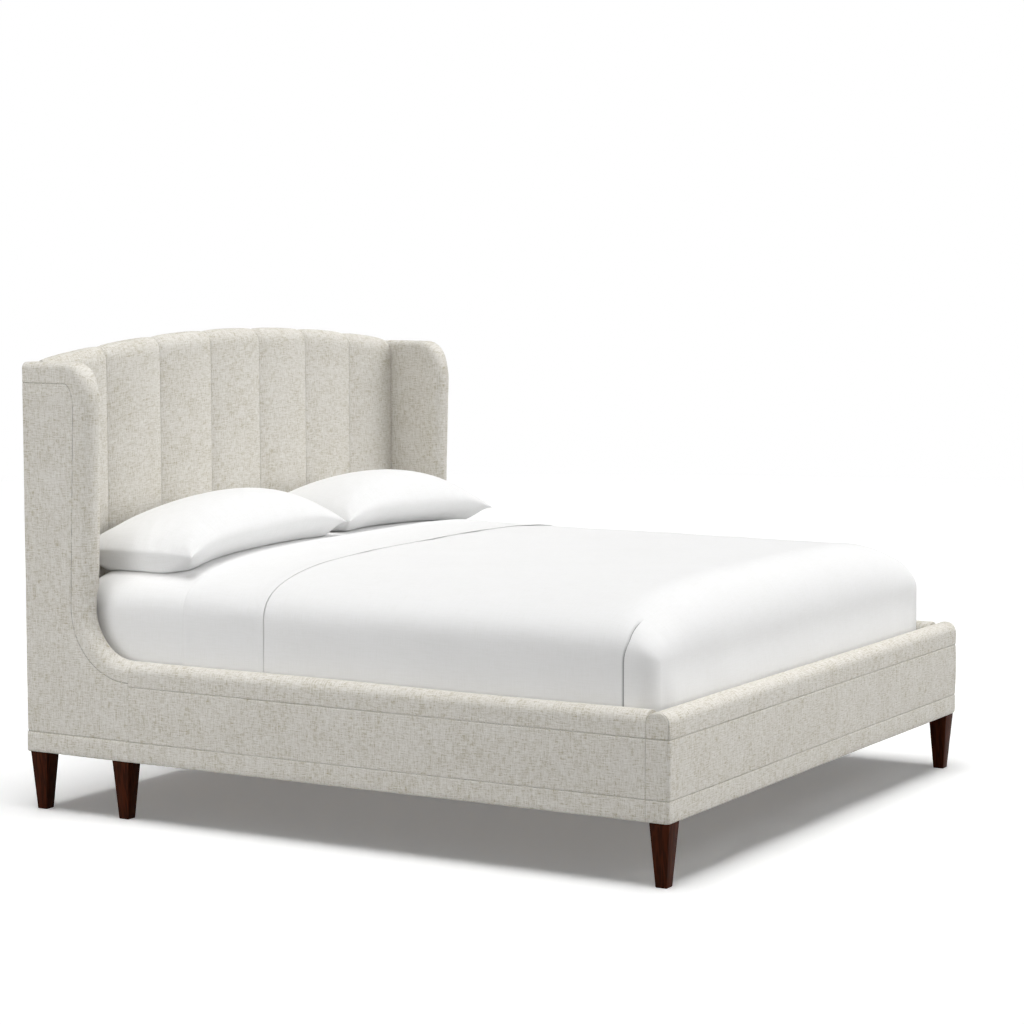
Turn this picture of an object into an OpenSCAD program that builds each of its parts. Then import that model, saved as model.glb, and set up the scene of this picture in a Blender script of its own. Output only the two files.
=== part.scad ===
// Upholstered wing-back bed: channelled headboard, padded rails, slatted base, mattress and bedding.
// Millimetres, +Z up. The headboard is at +Y, the foot at -Y, and the origin lies on the floor
// under the middle of the bed. Left is -X and right is +X.

/* [Mattress] */
// Width of the mattress
mattress_w = 1930; // [1370:1:2000]
// Length of the mattress
mattress_l = 2032; // [1880:1:2140]
// Height of the mattress's upright walls, from the slats to where the top rounds over
mattress_wall_h = 210; // [120:1:260]
// Height of the rounded top above the walls
mattress_crown_h = 178; // [100:1:220]
// Fullness of the rounded top across the bed, where 2 is an ellipse
crown_power = 3.45; // [2:0.05:4]
// Length over which the top rounds down to the foot and head faces
end_round_l = 150; // [80:1:240]
// Radius of the mattress's upright corners
mattress_corner_r = 33; // [20:1:120]

/* [Bed frame] */
// Gap from the mattress to each side rail
side_gap = 14; // [12:1:40]
// Gap from the mattress to the foot rail
foot_gap = 32; // [16:1:80]
// Gap from the mattress to the crown of the headboard's channels
head_gap = 15; // [6:1:60]
// Height of the rails' undersides above the floor, which is also the legs' height
leg_h = 181; // [120:1:260]
// Height of the padded rails
rail_h = 304; // [280:1:380]
// Thickness of the padded side rails and foot rail
rail_t = 71; // [66:1:110]
// Radius rolled along the rails' top edges
rail_roll_r = 32; // [10:1:32]
// Radius of the two upright corners at the foot
foot_corner_r = 20; // [4:1:30]
// Radius over the tops of the foot rail's two ends
foot_end_r = 8; // [3:1:30]
// Thickness of the boards inside the rails and wings
board_t = 32; // [24:1:36]
// Padding between the boards and the outer faces of the side rails and wings
side_padding = 26; // [12:1:28]
// Padding between the foot rail's board and its outer face
foot_padding = 19; // [12:1:28]
// Padding above the rails' boards
top_padding = 35; // [20:1:60]
// Thickness of the fabric that closes the underside of the rails and wings
underside_t = 3; // [2:0.5:6]

/* [Headboard] */
// Height of the headboard at the middle of its arch
headboard_h = 1451; // [1150:1:1600]
// Radius of the arch along the headboard's top
arch_r = 7160; // [4500:10:12000]
// Number of padded channels
channels = 7; // [5:1:8]
// Thickness of a channel at its crown
pad_crown_t = 35; // [24:1:50]
// Thickness of a channel at its seams
pad_seam_t = 17; // [10:1:22]
// Thickness of the padding over the top of the headboard
pad_cap_t = 12; // [6:1:20]
// How far back the channels roll at the top
pad_roll_d = 37; // [10:1:44]
// Height over which the channels roll back at the top
pad_roll_h = 50; // [20:1:80]
// Height of the channels' lower ends above the floor
pad_bottom_z = 420; // [400:1:520]
// Thickness of the headboard's panel and posts
panel_t = 26; // [18:1:32]
// Width of the headboard's posts
post_w = 70; // [50:1:120]
// Thickness of the cover on the back of the headboard
back_cover_t = 3; // [2:0.5:6]
// Margin left round the edge of the back cover
back_cover_margin = 8; // [4:1:20]

/* [Wings] */
// Depth of the wings' tops below the top of the headboard's arch
wing_drop = 72; // [50:1:120]
// Thickness of the wings
wing_t = 82; // [80:1:110]
// Radius rolled along the wings' free edges
wing_roll_r = 40; // [16:1:40]
// Reach of the wings forward of the headboard's back, at the top
wing_reach_top = 260; // [200:1:330]
// Reach of the wings forward of the headboard's back, where the lower sweep starts
wing_reach_low = 243; // [200:1:320]
// Length of the wings' side panels along the bottom
wing_foot_l = 393; // [372:1:470]
// Depth of the rounded top front corner
wing_corner_y = 95; // [50:1:120]
// Height of the rounded top front corner
wing_corner_z = 135; // [60:1:180]
// Padding between the wings' boards and their free edges
wing_edge_padding = 45; // [42:1:60]
// Height of the relief inside the wings that lets the mattress and slats in
wing_relief_z = 700; // [560:1:760]

/* [Legs] */
// Width of a leg at its top
leg_top_w = 62; // [40:1:68]
// Width of a leg at the floor
leg_foot_w = 35; // [24:1:60]
// Distance from the foot rail's outer face to the middle of the foot legs
foot_leg_in = 35; // [34:1:60]
// Distance from the headboard's back to the middle of the rear legs
rear_leg_in = 36; // [34:1:90]
// Distance from the headboard's back to the middle of the wings' front legs
wing_leg_in = 351; // [200:1:358]
// Radius of the hanger bolts that hold the legs
leg_bolt_r = 4; // [3:0.5:6]
// Depth of a hanger bolt in its leg
leg_bolt_down = 50; // [30:1:90]
// Depth of a hanger bolt in the board above its leg
leg_bolt_up = 70; // [30:1:100]

/* [Slatted base] */
// Number of slats
slats = 12; // [9:1:13]
// Width of a slat
slat_w = 100; // [60:1:130]
// Thickness of a slat
slat_t = 20; // [12:1:30]
// Depth of the slats' upper faces below the rails' tops
slat_drop = 95; // [70:1:130]
// Width of the ledges that carry the slats' ends
ledge_w = 40; // [25:1:60]
// Height of the ledges that carry the slats' ends
ledge_h = 40; // [25:1:60]
// Width of the centre beam
beam_w = 45; // [35:1:70]
// Height of the centre beam
beam_h = 95; // [60:1:110]
// Thickness of the headboard's cross rail
cross_rail_t = 38; // [24:1:48]
// Height of the headboard's cross rail
cross_rail_h = 180; // [160:1:200]
// Distance of each centre leg from the middle of the bed
centre_leg_y = 360; // [150:1:620]
// Width of a centre leg
centre_leg_w = 60; // [40:1:80]
// Height of the centre legs' undersides above the floor
centre_leg_gap = 25; // [18:1:50]

/* [Levelling feet] */
// Radius of a levelling foot's pad
pad_r = 22; // [12:1:30]
// Thickness of a levelling foot's pad
pad_t = 10; // [5:1:14]
// Radius of a levelling foot's stud
stud_r = 5; // [3:0.5:8]
// Length of the stud inside its centre leg
stud_in = 50; // [20:1:80]

/* [Brackets and bolts] */
// Thickness of the steel brackets
steel_t = 4; // [2:0.5:6]
// Length of a corner bracket's arms
bracket_arm = 60; // [44:1:90]
// Height of the corner brackets
bracket_h = 90; // [60:1:100]
// Distance of the corner brackets' lower edges above the rails' undersides
bracket_up = 20; // [8:1:40]
// Radius of the frame bolts
bolt_r = 4; // [3:0.5:5]
// Radius of the frame bolts' heads
bolt_head_r = 8; // [6:0.5:10]
// Height of the frame bolts' heads
bolt_head_h = 5; // [3:0.5:8]
// Length of the frame bolts
bolt_l = 45; // [36:1:48]
// Thickness of the hangers' steel
hanger_t = 3; // [2:0.5:5]
// Depth of the hangers' seats along the centre beam
hanger_d = 45; // [25:1:70]

/* [Bedding] */
// Thickness of the fitted sheet
fitted_t = 2; // [1:0.1:3]
// Thickness of the coverlet
coverlet_t = 6.4; // [3:0.1:7]
// Thickness of the top sheet's turned-down cuff
cuff_t = 2; // [1:0.1:2.5]
// Distance from the mattress's head to the fold of the cuff
cuff_fold_in = 465; // [440:1:700]
// Width of the cuff
cuff_w = 300; // [150:1:450]
// Depth to which the coverlet is tucked below the rails' tops
tuck_depth = 50; // [20:1:70]
// Clear space left between layers of bedding
layer_gap = 0.3; // [0.3:0.1:0.6]

/* [Pillows] */
// Length of a pillow
pillow_l = 890; // [600:1:950]
// Depth of a pillow from front to back
pillow_d = 430; // [300:1:450]
// Height of a pillow's upper side above its seam
pillow_up = 112; // [80:1:190]
// Depth of the left pillow's lower side below its seam
pillow_down = 108; // [40:1:130]
// Depth of the right pillow's lower side below its seam
pillow_right_down = 88; // [40:1:130]
// Height of the seam at a pillow's inner corners above the middle of the fitted sheet
pillow_seam_up = 42; // [0:1:80]
// How much higher the seam stands at the middle of a pillow than at its corners
pillow_arch = 41; // [0:1:60]
// Gap between the pillows
pillow_gap = 12; // [4:1:60]
// Gap from the pillows to the headboard's channels
pillow_back_gap = 8; // [3:1:60]
// How much lower the left pillow's outer end sits than its inner end
pillow_droop = 30; // [0:1:60]
// How much lower the right pillow's outer end sits than its inner end
pillow_right_droop = 27; // [0:1:60]
// How much nearer the foot a pillow's outer front corner lies than its inner one
pillow_splay = 22; // [0:1:60]
// How far a pillow's sides pull in between its corners
pillow_pull = 16; // [0:1:40]
// Thickness of a pillow's edge seam
pillow_edge_t = 4; // [2:0.5:8]

/* [Hidden] */
$fn = 96;

FABRIC = [0.75, 0.73, 0.70];
LINEN = [0.95, 0.95, 0.94];
TIMBER = [0.78, 0.66, 0.48];
LEG_WOOD = [0.20, 0.10, 0.07];
STEEL = [0.60, 0.61, 0.63];

// Overall sizes
headboard_d = back_cover_t + panel_t + pad_crown_t;
wing_h = headboard_h - wing_drop;
half_w = mattress_w / 2 + side_gap + rail_t;
half_l = (rail_t + foot_gap + mattress_l + head_gap + headboard_d) / 2;

// Places along the bed
y_foot = -half_l;
y_back = half_l;
y_rail_in = y_foot + rail_t;
y_mattress_foot = y_rail_in + foot_gap;
y_mattress_head = y_mattress_foot + mattress_l;
y_mattress_mid = (y_mattress_foot + y_mattress_head) / 2;
y_cover_front = y_back - back_cover_t;
y_panel_front = y_cover_front - panel_t;
y_cross_front = y_panel_front - cross_rail_t;
y_joint = y_back - wing_foot_l;
y_wing_top = y_back - wing_reach_top;
y_wing_low = y_back - wing_reach_low;

// Places across the bed
x_rail_in = half_w - rail_t;
x_wing_in = half_w - wing_t;
x_board_out = half_w - side_padding;
x_board_in = x_board_out - board_t;
x_leg = (x_board_out + x_board_in) / 2;

// Heights
z_rail_top = leg_h + rail_h;
z_board_low = leg_h + underside_t;
z_board_top = z_rail_top - top_padding;
z_slat_top = z_rail_top - slat_drop;
z_slat_low = z_slat_top - slat_t;
z_beam_low = z_slat_low - beam_h;
z_mattress_low = z_slat_top + layer_gap;
z_crown_start = z_slat_top + mattress_wall_h;
z_tuck = z_rail_top - tuck_depth;
z_bracket = leg_h + bracket_up;
arch_centre_z = headboard_h - arch_r;

// Small clearances
bolt_clear = 0.1;
stud_clear = 0.05;
arch_clear = 0.3;
cut = 1;

// Layers of bedding, each as its distance out from the mattress
fitted_in = layer_gap;
fitted_out = fitted_in + fitted_t;
coverlet_in = fitted_out + layer_gap;
coverlet_out = coverlet_in + coverlet_t;
cuff_in = coverlet_out + layer_gap;
cuff_out = cuff_in + cuff_t;
pillow_seat = fitted_out + layer_gap;
y_fold = y_mattress_head - cuff_fold_in;
y_hem = y_fold - cuff_w;

// ---------------------------------------------------------------- helpers

// Extrudes a profile drawn as [x, z] from y0 to y1.
module along_y(y0, y1)
    translate([0, y1, 0]) rotate([90, 0, 0]) linear_extrude(y1 - y0) children();

// Extrudes a profile drawn as [y, z] from x0 to x1.
module along_x(x0, x1)
    translate([x0, 0, 0]) rotate([90, 0, 90]) linear_extrude(x1 - x0) children();

// A box given by its low and high corners.
module box(low, high)
    translate(low) cube(high - low);

// Mirrors to the right side of the bed when side is 1. Everything is drawn on the left.
module on_side(side)
    if (side > 0) mirror([1, 0, 0]) children();
    else children();

// Joins rings of points, each ring with as many points, into one closed solid. Each ring runs
// anticlockwise as seen from outside the first. The end rings are closed by fans from the point
// numbered apex, which sees the whole of its ring.
module loft(rings, apex) {
    count = len(rings[0]);
    last = len(rings) - 1;
    points = [for (ring = rings) each ring];
    sides = [
        for (i = [0 : last - 1])
            for (j = [0 : count - 1])
                let (a = i * count + j, b = i * count + (j + 1) % count)
                    each [[a, b, b + count], [a, b + count, a + count]]
    ];
    ends = [
        for (j = [1 : count - 2])
            let (b = (apex + j) % count, c = (apex + j + 1) % count, k = last * count)
                each [[apex, c, b], [k + apex, k + b, k + c]]
    ];
    polyhedron(points, concat(sides, ends), convexity = 6);
}

// One point of a quarter of a superellipse with unit radii.
function quarter(t, power) = [pow(cos(t), 2 / power), pow(sin(t), 2 / power)];

// ---------------------------------------------------------------- headboard

// Height of the arch at x.
function arch_z(x) = arch_centre_z + sqrt(arch_r * arch_r - x * x);

// The area under the arch, lowered by drop, between two x places.
module arch_area(x0, x1, z0, drop)
    intersection() {
        translate([x0, z0]) square([x1 - x0, headboard_h - z0]);
        translate([0, arch_centre_z]) circle(r = arch_r - drop, $fn = 1440);
    }

panel_drop = pad_cap_t + arch_clear;

module headboard_panel()
    color(TIMBER)
        along_y(y_panel_front, y_cover_front)
            arch_area(-x_wing_in + post_w, x_wing_in - post_w, z_board_low, panel_drop);

module headboard_post(side)
    color(TIMBER) on_side(side) difference() {
        along_y(y_panel_front, y_cover_front)
            arch_area(-x_wing_in, -x_wing_in + post_w, z_board_low, panel_drop);
        head_bracket_end_bolt_holes();
    }

module headboard_cross_rail()
    color(TIMBER) difference() {
        box([-x_rail_in, y_cross_front, z_slat_top - cross_rail_h], [x_rail_in, y_panel_front, z_slat_top]);
        for (side = [-1, 1])
            on_side(side) head_bracket_end_bolt_holes();
    }

module headboard_back_cover()
    color(FABRIC)
        along_y(y_cover_front, y_back)
            arch_area(-half_w + back_cover_margin, half_w - back_cover_margin,
                      leg_h + back_cover_margin, back_cover_margin);

channel_w = 2 * x_wing_in / channels;
PAD_ANGLES = [-90, -66, -44, -22, 0, 22, 44, 66, 90];
ROLL_ANGLES = [15, 30, 45, 60, 75, 90];
pad_power = 2.4;
pad_fullness = 0.6;
seam_dip = 3;

// Thickness of a channel at s, from -1 at one seam to 1 at the next.
function pad_thickness(s) =
    pad_seam_t + (pad_crown_t - pad_seam_t) * pow(1 - pow(abs(s), pad_power), pad_fullness);

// Outline of a channel's section at x, as [x, y, z] points.
function pad_section(x, s) =
    let (
        front = y_panel_front - pad_thickness(s),
        arch = arch_z(x),
        top = arch - seam_dip * pow(abs(s), 4),
        roll_z = top - pad_roll_h
    ) concat(
        [[x, y_panel_front, pad_bottom_z], [x, front, pad_bottom_z], [x, front, roll_z]],
        [for (t = ROLL_ANGLES) [x, front + pad_roll_d * (1 - cos(t)), roll_z + pad_roll_h * sin(t)]],
        [[x, y_cover_front, top], [x, y_cover_front, arch - pad_cap_t], [x, y_panel_front, arch - pad_cap_t]]
    );

module channel_pad(number)
    color(FABRIC) {
        middle = -x_wing_in + (number - 0.5) * channel_w;
        sections = [for (t = PAD_ANGLES) pad_section(middle + channel_w / 2 * sin(t), sin(t))];
        loft(sections, len(sections[0]) - 1);
    }

// ---------------------------------------------------------------- wings

sweep_r = y_wing_low - y_joint;
sweep_z = z_rail_top + sweep_r;
CORNER_ANGLES = [90, 75, 60, 45, 30, 15, 0];
SWEEP_ANGLES = [0, 10, 20, 30, 40, 50, 60, 70, 80, 90];
EDGE_ANGLES = [0, 22.5, 45, 67.5, 90];

// Outline of a wing as [y, z], drawn in by inset along its free edges only.
function wing_outline(inset, low, back) = concat(
    [[y_joint, low], [back, low], [back, wing_h - inset]],
    [for (t = CORNER_ANGLES) [
        y_wing_top + wing_corner_y - (wing_corner_y - inset) * cos(t),
        wing_h - wing_corner_z + (wing_corner_z - inset) * sin(t)
    ]],
    [for (t = SWEEP_ANGLES) [
        y_joint + (sweep_r + inset) * cos(t),
        sweep_z - (sweep_r + inset) * sin(t)
    ]]
);

function wing_ring(x, inset) =
    [for (p = wing_outline(inset, leg_h, y_cover_front)) [x, p[0], p[1]]];

// The wing's padded body before its board, relief and bolts are taken out.
module wing_body() {
    inner = [for (t = EDGE_ANGLES)
        wing_ring(-x_wing_in - wing_roll_r * (1 - cos(t)), wing_roll_r * (1 - sin(t)))];
    outer = [for (i = [len(EDGE_ANGLES) - 1 : -1 : 0])
        let (t = EDGE_ANGLES[i])
            wing_ring(-half_w + wing_roll_r * (1 - cos(t)), wing_roll_r * (1 - sin(t)))];
    loft(concat(inner, outer), 1);
}

module wing_board_body()
    along_x(-x_board_out, -x_board_in)
        polygon(wing_outline(wing_edge_padding, z_board_low, y_cover_front - underside_t));

module wing_board(side)
    color(TIMBER) on_side(side) difference() {
        wing_board_body();
        leg_bolt_holes();
        rail_joint_bolt_holes();
        head_bracket_side_bolt_holes();
    }

module wing_cover(side)
    color(FABRIC) on_side(side) difference() {
        wing_body();
        wing_board_body();
        box([-x_rail_in, y_joint - cut, leg_h - cut], [-x_wing_in + cut, y_back + cut, wing_relief_z]);
        leg_bolt_holes();
        head_bracket_side_bolt_holes();
    }

// ---------------------------------------------------------------- rails

// Section of a rail as [across, z], from its inner face at 0 to its outer face at rail_t.
module rail_section() {
    square([rail_t, rail_h - rail_roll_r]);
    translate([rail_roll_r, 0]) square([rail_t - 2 * rail_roll_r, rail_h]);
    for (x = [rail_roll_r, rail_t - rail_roll_r])
        translate([x, rail_h - rail_roll_r]) circle(r = rail_roll_r);
}

module side_rail_board_body()
    box([-x_board_out, y_rail_in, z_board_low], [-x_board_in, y_joint, z_board_top]);

module side_rail_board(side)
    color(TIMBER) on_side(side) difference() {
        side_rail_board_body();
        rail_joint_bolt_holes();
        foot_bracket_side_bolt_holes();
    }

module side_rail_cover(side)
    color(FABRIC) on_side(side) difference() {
        along_y(y_rail_in, y_joint)
            translate([-half_w, leg_h]) rail_section();
        side_rail_board_body();
        foot_bracket_side_bolt_holes();
    }

module foot_rail_board_body()
    box([-x_board_out, y_foot + foot_padding, z_board_low],
        [x_board_out, y_foot + foot_padding + board_t, z_board_top]);

module foot_rail_holes()
    for (side = [-1, 1])
        on_side(side) {
            leg_bolt_holes();
            foot_bracket_end_bolt_holes();
        }

module foot_rail_board()
    color(TIMBER) difference() {
        foot_rail_board_body();
        foot_rail_holes();
    }

module foot_rail_cover()
    color(FABRIC) difference() {
        intersection() {
            along_x(-half_w, half_w) translate([y_foot, leg_h]) rail_section();
            translate([0, 0, leg_h]) linear_extrude(rail_h) foot_plan();
            along_y(y_foot - cut, y_rail_in + cut) foot_end_section();
        }
        foot_rail_board_body();
        foot_rail_holes();
    }

// Plan of the foot rail with its two upright corners rounded.
module foot_plan() {
    translate([-half_w, y_foot + foot_corner_r]) square([2 * half_w, rail_t - foot_corner_r]);
    translate([-half_w + foot_corner_r, y_foot]) square([2 * (half_w - foot_corner_r), rail_t]);
    for (x = [-1, 1])
        translate([x * (half_w - foot_corner_r), y_foot + foot_corner_r]) circle(r = foot_corner_r);
}

// Front view of the foot rail with the tops of its ends rounded.
module foot_end_section() {
    translate([-half_w, leg_h]) square([2 * half_w, rail_h - foot_end_r]);
    translate([-half_w + foot_end_r, leg_h]) square([2 * (half_w - foot_end_r), rail_h]);
    for (x = [-1, 1])
        translate([x * (half_w - foot_end_r), z_rail_top - foot_end_r]) circle(r = foot_end_r);
}

// ---------------------------------------------------------------- legs

y_leg_foot = y_foot + foot_leg_in;
y_leg_rear = y_back - rear_leg_in;
y_leg_wing = y_back - wing_leg_in;

module leg_bolt(y, clear)
    translate([-x_leg, y, leg_h - leg_bolt_down])
        cylinder(h = leg_bolt_down + leg_bolt_up, r = leg_bolt_r + clear);

module leg_bolt_holes()
    for (y = [y_leg_foot, y_leg_wing, y_leg_rear])
        leg_bolt(y, bolt_clear);

// A square leg that tapers to the floor.
module leg(side, y)
    color(LEG_WOOD) on_side(side) difference() {
        loft([for (end = [[0, leg_foot_w / 2], [leg_h, leg_top_w / 2]])
            let (z = end[0], h = end[1])
                [[-x_leg - h, y - h, z], [-x_leg - h, y + h, z],
                 [-x_leg + h, y + h, z], [-x_leg + h, y - h, z]]], 0);
        leg_bolt(y, bolt_clear);
    }

module leg_bolts()
    color(STEEL) for (side = [-1, 1])
        on_side(side)
            for (y = [y_leg_foot, y_leg_wing, y_leg_rear])
                leg_bolt(y, 0);

// ---------------------------------------------------------------- slatted base

module slat_ledge(side)
    color(TIMBER) on_side(side)
        box([-x_rail_in, y_rail_in, z_slat_low - ledge_h],
            [-x_rail_in + ledge_w, y_cross_front, z_slat_low]);

slat_end_gap = 4;
slat_pitch = (mattress_l - slat_w) / (slats - 1);

module slat(number)
    color(TIMBER) {
        y = y_mattress_foot + (number - 1) * slat_pitch;
        box([-x_rail_in + slat_end_gap, y, z_slat_low], [x_rail_in - slat_end_gap, y + slat_w, z_slat_top]);
    }

module centre_beam()
    color(TIMBER)
        box([-beam_w / 2, y_rail_in + hanger_t, z_beam_low],
            [beam_w / 2, y_cross_front - hanger_t, z_slat_low]);

// A steel hanger: a plate on the cross rail, a seat and two cheeks, drawn at the foot end.
module beam_hanger() {
    outer = beam_w / 2 + hanger_t;
    difference() {
        box([-outer, 0, z_beam_low - hanger_t], [outer, hanger_t + hanger_d, z_slat_low - hanger_t]);
        box([-beam_w / 2, hanger_t, z_beam_low], [beam_w / 2, hanger_t + hanger_d + cut, z_slat_low]);
    }
}

module beam_hangers()
    color(STEEL) {
        translate([0, y_rail_in, 0]) beam_hanger();
        translate([0, y_cross_front, 0]) mirror([0, 1, 0]) beam_hanger();
    }

module centre_leg(y)
    color(TIMBER) difference() {
        box([-centre_leg_w / 2, y - centre_leg_w / 2, centre_leg_gap],
            [centre_leg_w / 2, y + centre_leg_w / 2, z_beam_low]);
        translate([0, y, centre_leg_gap - cut])
            cylinder(h = stud_in + 2 * cut, r = stud_r + stud_clear);
    }

module levelling_foot(y)
    color(STEEL) translate([0, y, 0]) {
        cylinder(h = pad_t, r = pad_r);
        cylinder(h = centre_leg_gap + stud_in, r = stud_r);
    }

// ---------------------------------------------------------------- brackets and bolts

// An upright angle bracket with its corner at the origin, its arms along +X and +Y.
module angle_bracket()
    difference() {
        box([0, 0, 0], [bracket_arm, bracket_arm, bracket_h]);
        box([steel_t, steel_t, -cut], [bracket_arm + cut, bracket_arm + cut, bracket_h + cut]);
        for (z = BRACKET_BOLTS) {
            translate([-cut, bolt_off, z]) rotate([0, 90, 0])
                cylinder(h = steel_t + 2 * cut, r = bolt_r + bolt_clear);
            translate([bolt_off, steel_t + cut, z]) rotate([90, 0, 0])
                cylinder(h = steel_t + 2 * cut, r = bolt_r + bolt_clear);
        }
    }

bolt_off = bracket_arm * 0.6;
BRACKET_BOLTS = [bracket_h * 0.25, bracket_h * 0.75];

// Place of the two kinds of corner on the left of the bed.
module at_foot_corner()
    translate([-x_rail_in, y_rail_in, z_bracket]) children();

module at_head_corner()
    translate([-x_rail_in, y_cross_front, z_bracket]) mirror([0, 1, 0]) children();

module foot_corner_brackets()
    color(STEEL) for (side = [-1, 1])
        on_side(side) at_foot_corner() angle_bracket();

module head_corner_brackets()
    color(STEEL) for (side = [-1, 1])
        on_side(side) at_head_corner() angle_bracket();

// Shank of a frame bolt that enters along -X from the bracket's face.
module side_shanks(clear)
    for (z = BRACKET_BOLTS)
        translate([steel_t - bolt_l, bolt_off, z]) rotate([0, 90, 0])
            cylinder(h = bolt_l, r = bolt_r + clear);

// Shank of a frame bolt that enters along -Y from the bracket's face.
module end_shanks(clear)
    for (z = BRACKET_BOLTS)
        translate([bolt_off, steel_t, z]) rotate([90, 0, 0])
            cylinder(h = bolt_l, r = bolt_r + clear);

module side_heads()
    for (z = BRACKET_BOLTS)
        translate([steel_t, bolt_off, z]) rotate([0, 90, 0])
            cylinder(h = bolt_head_h, r = bolt_head_r);

module end_heads()
    for (z = BRACKET_BOLTS)
        translate([bolt_off, steel_t + bolt_head_h, z]) rotate([90, 0, 0])
            cylinder(h = bolt_head_h, r = bolt_head_r);

module foot_bracket_side_bolt_holes()
    at_foot_corner() side_shanks(bolt_clear);

module foot_bracket_end_bolt_holes()
    at_foot_corner() end_shanks(bolt_clear);

module head_bracket_side_bolt_holes()
    at_head_corner() side_shanks(bolt_clear);

module head_bracket_end_bolt_holes()
    at_head_corner() end_shanks(bolt_clear);

// Two bolts that cross the joint between a side rail's board and a wing's board.
JOINT_BOLTS = [0.3, 0.7];

module rail_joint_bolts(clear)
    for (share = JOINT_BOLTS)
        translate([-x_leg, y_joint - bolt_l / 2, z_board_low + share * (z_board_top - z_board_low)])
            rotate([-90, 0, 0]) cylinder(h = bolt_l, r = bolt_r + clear);

module rail_joint_bolt_holes()
    rail_joint_bolts(bolt_clear);

module frame_bolts()
    color(STEEL) for (side = [-1, 1])
        on_side(side) {
            rail_joint_bolts(0);
            at_foot_corner() {
                side_shanks(0);
                side_heads();
                end_shanks(0);
                end_heads();
            }
            at_head_corner() {
                side_shanks(0);
                side_heads();
                end_shanks(0);
                end_heads();
            }
        }

// ---------------------------------------------------------------- mattress and bedding

CROWN_STEPS = 12;
END_STEPS = 6;

// Section across the bed of the mattress, grown by out.
module crown_section(out, low) {
    a = mattress_w / 2 + out;
    h = mattress_crown_h + out;
    right = [for (i = [0 : CROWN_STEPS])
        let (q = quarter(90 * i / CROWN_STEPS, crown_power)) [a * q[0], z_crown_start + h * q[1]]];
    left = [for (i = [CROWN_STEPS - 1 : -1 : 0]) [-right[i][0], right[i][1]]];
    polygon(concat([[a, low]], right, left, [[-a, low]]));
}

// Section along the bed of the mattress, grown by out.
module end_section(out, low) {
    h = mattress_crown_h + out;
    foot = [for (i = [0 : END_STEPS])
        let (q = quarter(90 * i / END_STEPS, 2))
            [y_mattress_foot - out + (end_round_l + out) * (1 - q[0]), z_crown_start + h * q[1]]];
    head = [for (i = [END_STEPS : -1 : 0]) [2 * y_mattress_mid - foot[i][0], foot[i][1]]];
    polygon(concat([[y_mattress_foot - out, low]], foot, head, [[y_mattress_head + out, low]]));
}

// Plan of the mattress, grown by out.
module mattress_plan(out) {
    a = mattress_w / 2 + out;
    b = mattress_l / 2 + out;
    r = mattress_corner_r + out;
    translate([0, y_mattress_mid]) {
        square([2 * a, 2 * (b - r)], center = true);
        square([2 * (a - r), 2 * b], center = true);
        for (x = [-1, 1])
            for (y = [-1, 1])
                translate([x * (a - r), y * (b - r)]) circle(r = r);
    }
}

// The mattress's form, grown by out and reaching down to low.
module mattress_form(out, low)
    intersection() {
        along_y(y_mattress_foot - out - cut, y_mattress_head + out + cut) crown_section(out, low);
        along_x(-mattress_w / 2 - out - cut, mattress_w / 2 + out + cut) end_section(out, low);
        translate([0, 0, low]) linear_extrude(headboard_h) mattress_plan(out);
    }

// A layer of cloth over the mattress, from y0 to y1.
module cloth_layer(inner, outer, low, y0, y1)
    intersection() {
        difference() {
            mattress_form(outer, low);
            mattress_form(inner, low - cut);
        }
        box([-half_w, y0, low - cut], [half_w, y1, headboard_h]);
    }

module mattress()
    color(LINEN) mattress_form(0, z_mattress_low);

module fitted_sheet()
    color(LINEN) cloth_layer(fitted_in, fitted_out, z_slat_top + layer_gap, y_foot, y_back);

module coverlet()
    color(LINEN) cloth_layer(coverlet_in, coverlet_out, z_tuck, y_foot, y_fold);

module top_sheet()
    color(LINEN) cloth_layer(cuff_in, cuff_out, z_tuck, y_hem, y_fold);

PILLOW_U = [-90, -76, -62, -48, -32, -16, 0, 16, 32, 48, 62, 76, 90];
PILLOW_V = [-90, -68, -45, -22, 0, 22, 45, 68, 90];
pillow_fullness = 0.55;
pillow_low_fullness = 0.22;
pillow_lean = 0.25;
pillow_x = (pillow_l + pillow_gap) / 2;
pillow_y = y_panel_front - pad_crown_t - pillow_back_gap - pillow_d / 2;
pillow_z = z_crown_start + mattress_crown_h + fitted_out + pillow_seam_up;

// Point of a pillow at u along it and v across it. Its side rises from the seam if rise is
// above 0 and sinks from it if below. Its outer end, on the given side, droops.
function pillow_point(u, v, rise, side, droop) =
    let (fullness = rise > 0 ? pillow_fullness : pillow_low_fullness)
    let (lean = rise > 0 ? 1 - pillow_lean * v : 1)
    let (full = lean * pow(max(0, (1 - u * u) * (1 - v * v)), fullness))
    let (splay = pillow_splay * (1 + side * u) * (1 - v) / 4)
    let (seam = pillow_arch * (1 - pow(u, 4)) - side * u * droop / 2) [
        u * (pillow_l / 2 - pillow_pull * (1 - v * v)),
        v * (pillow_d / 2 - pillow_pull * (1 - u * u)) - splay,
        seam + sign(rise) * pillow_edge_t / 2 + rise * full
    ];

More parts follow.
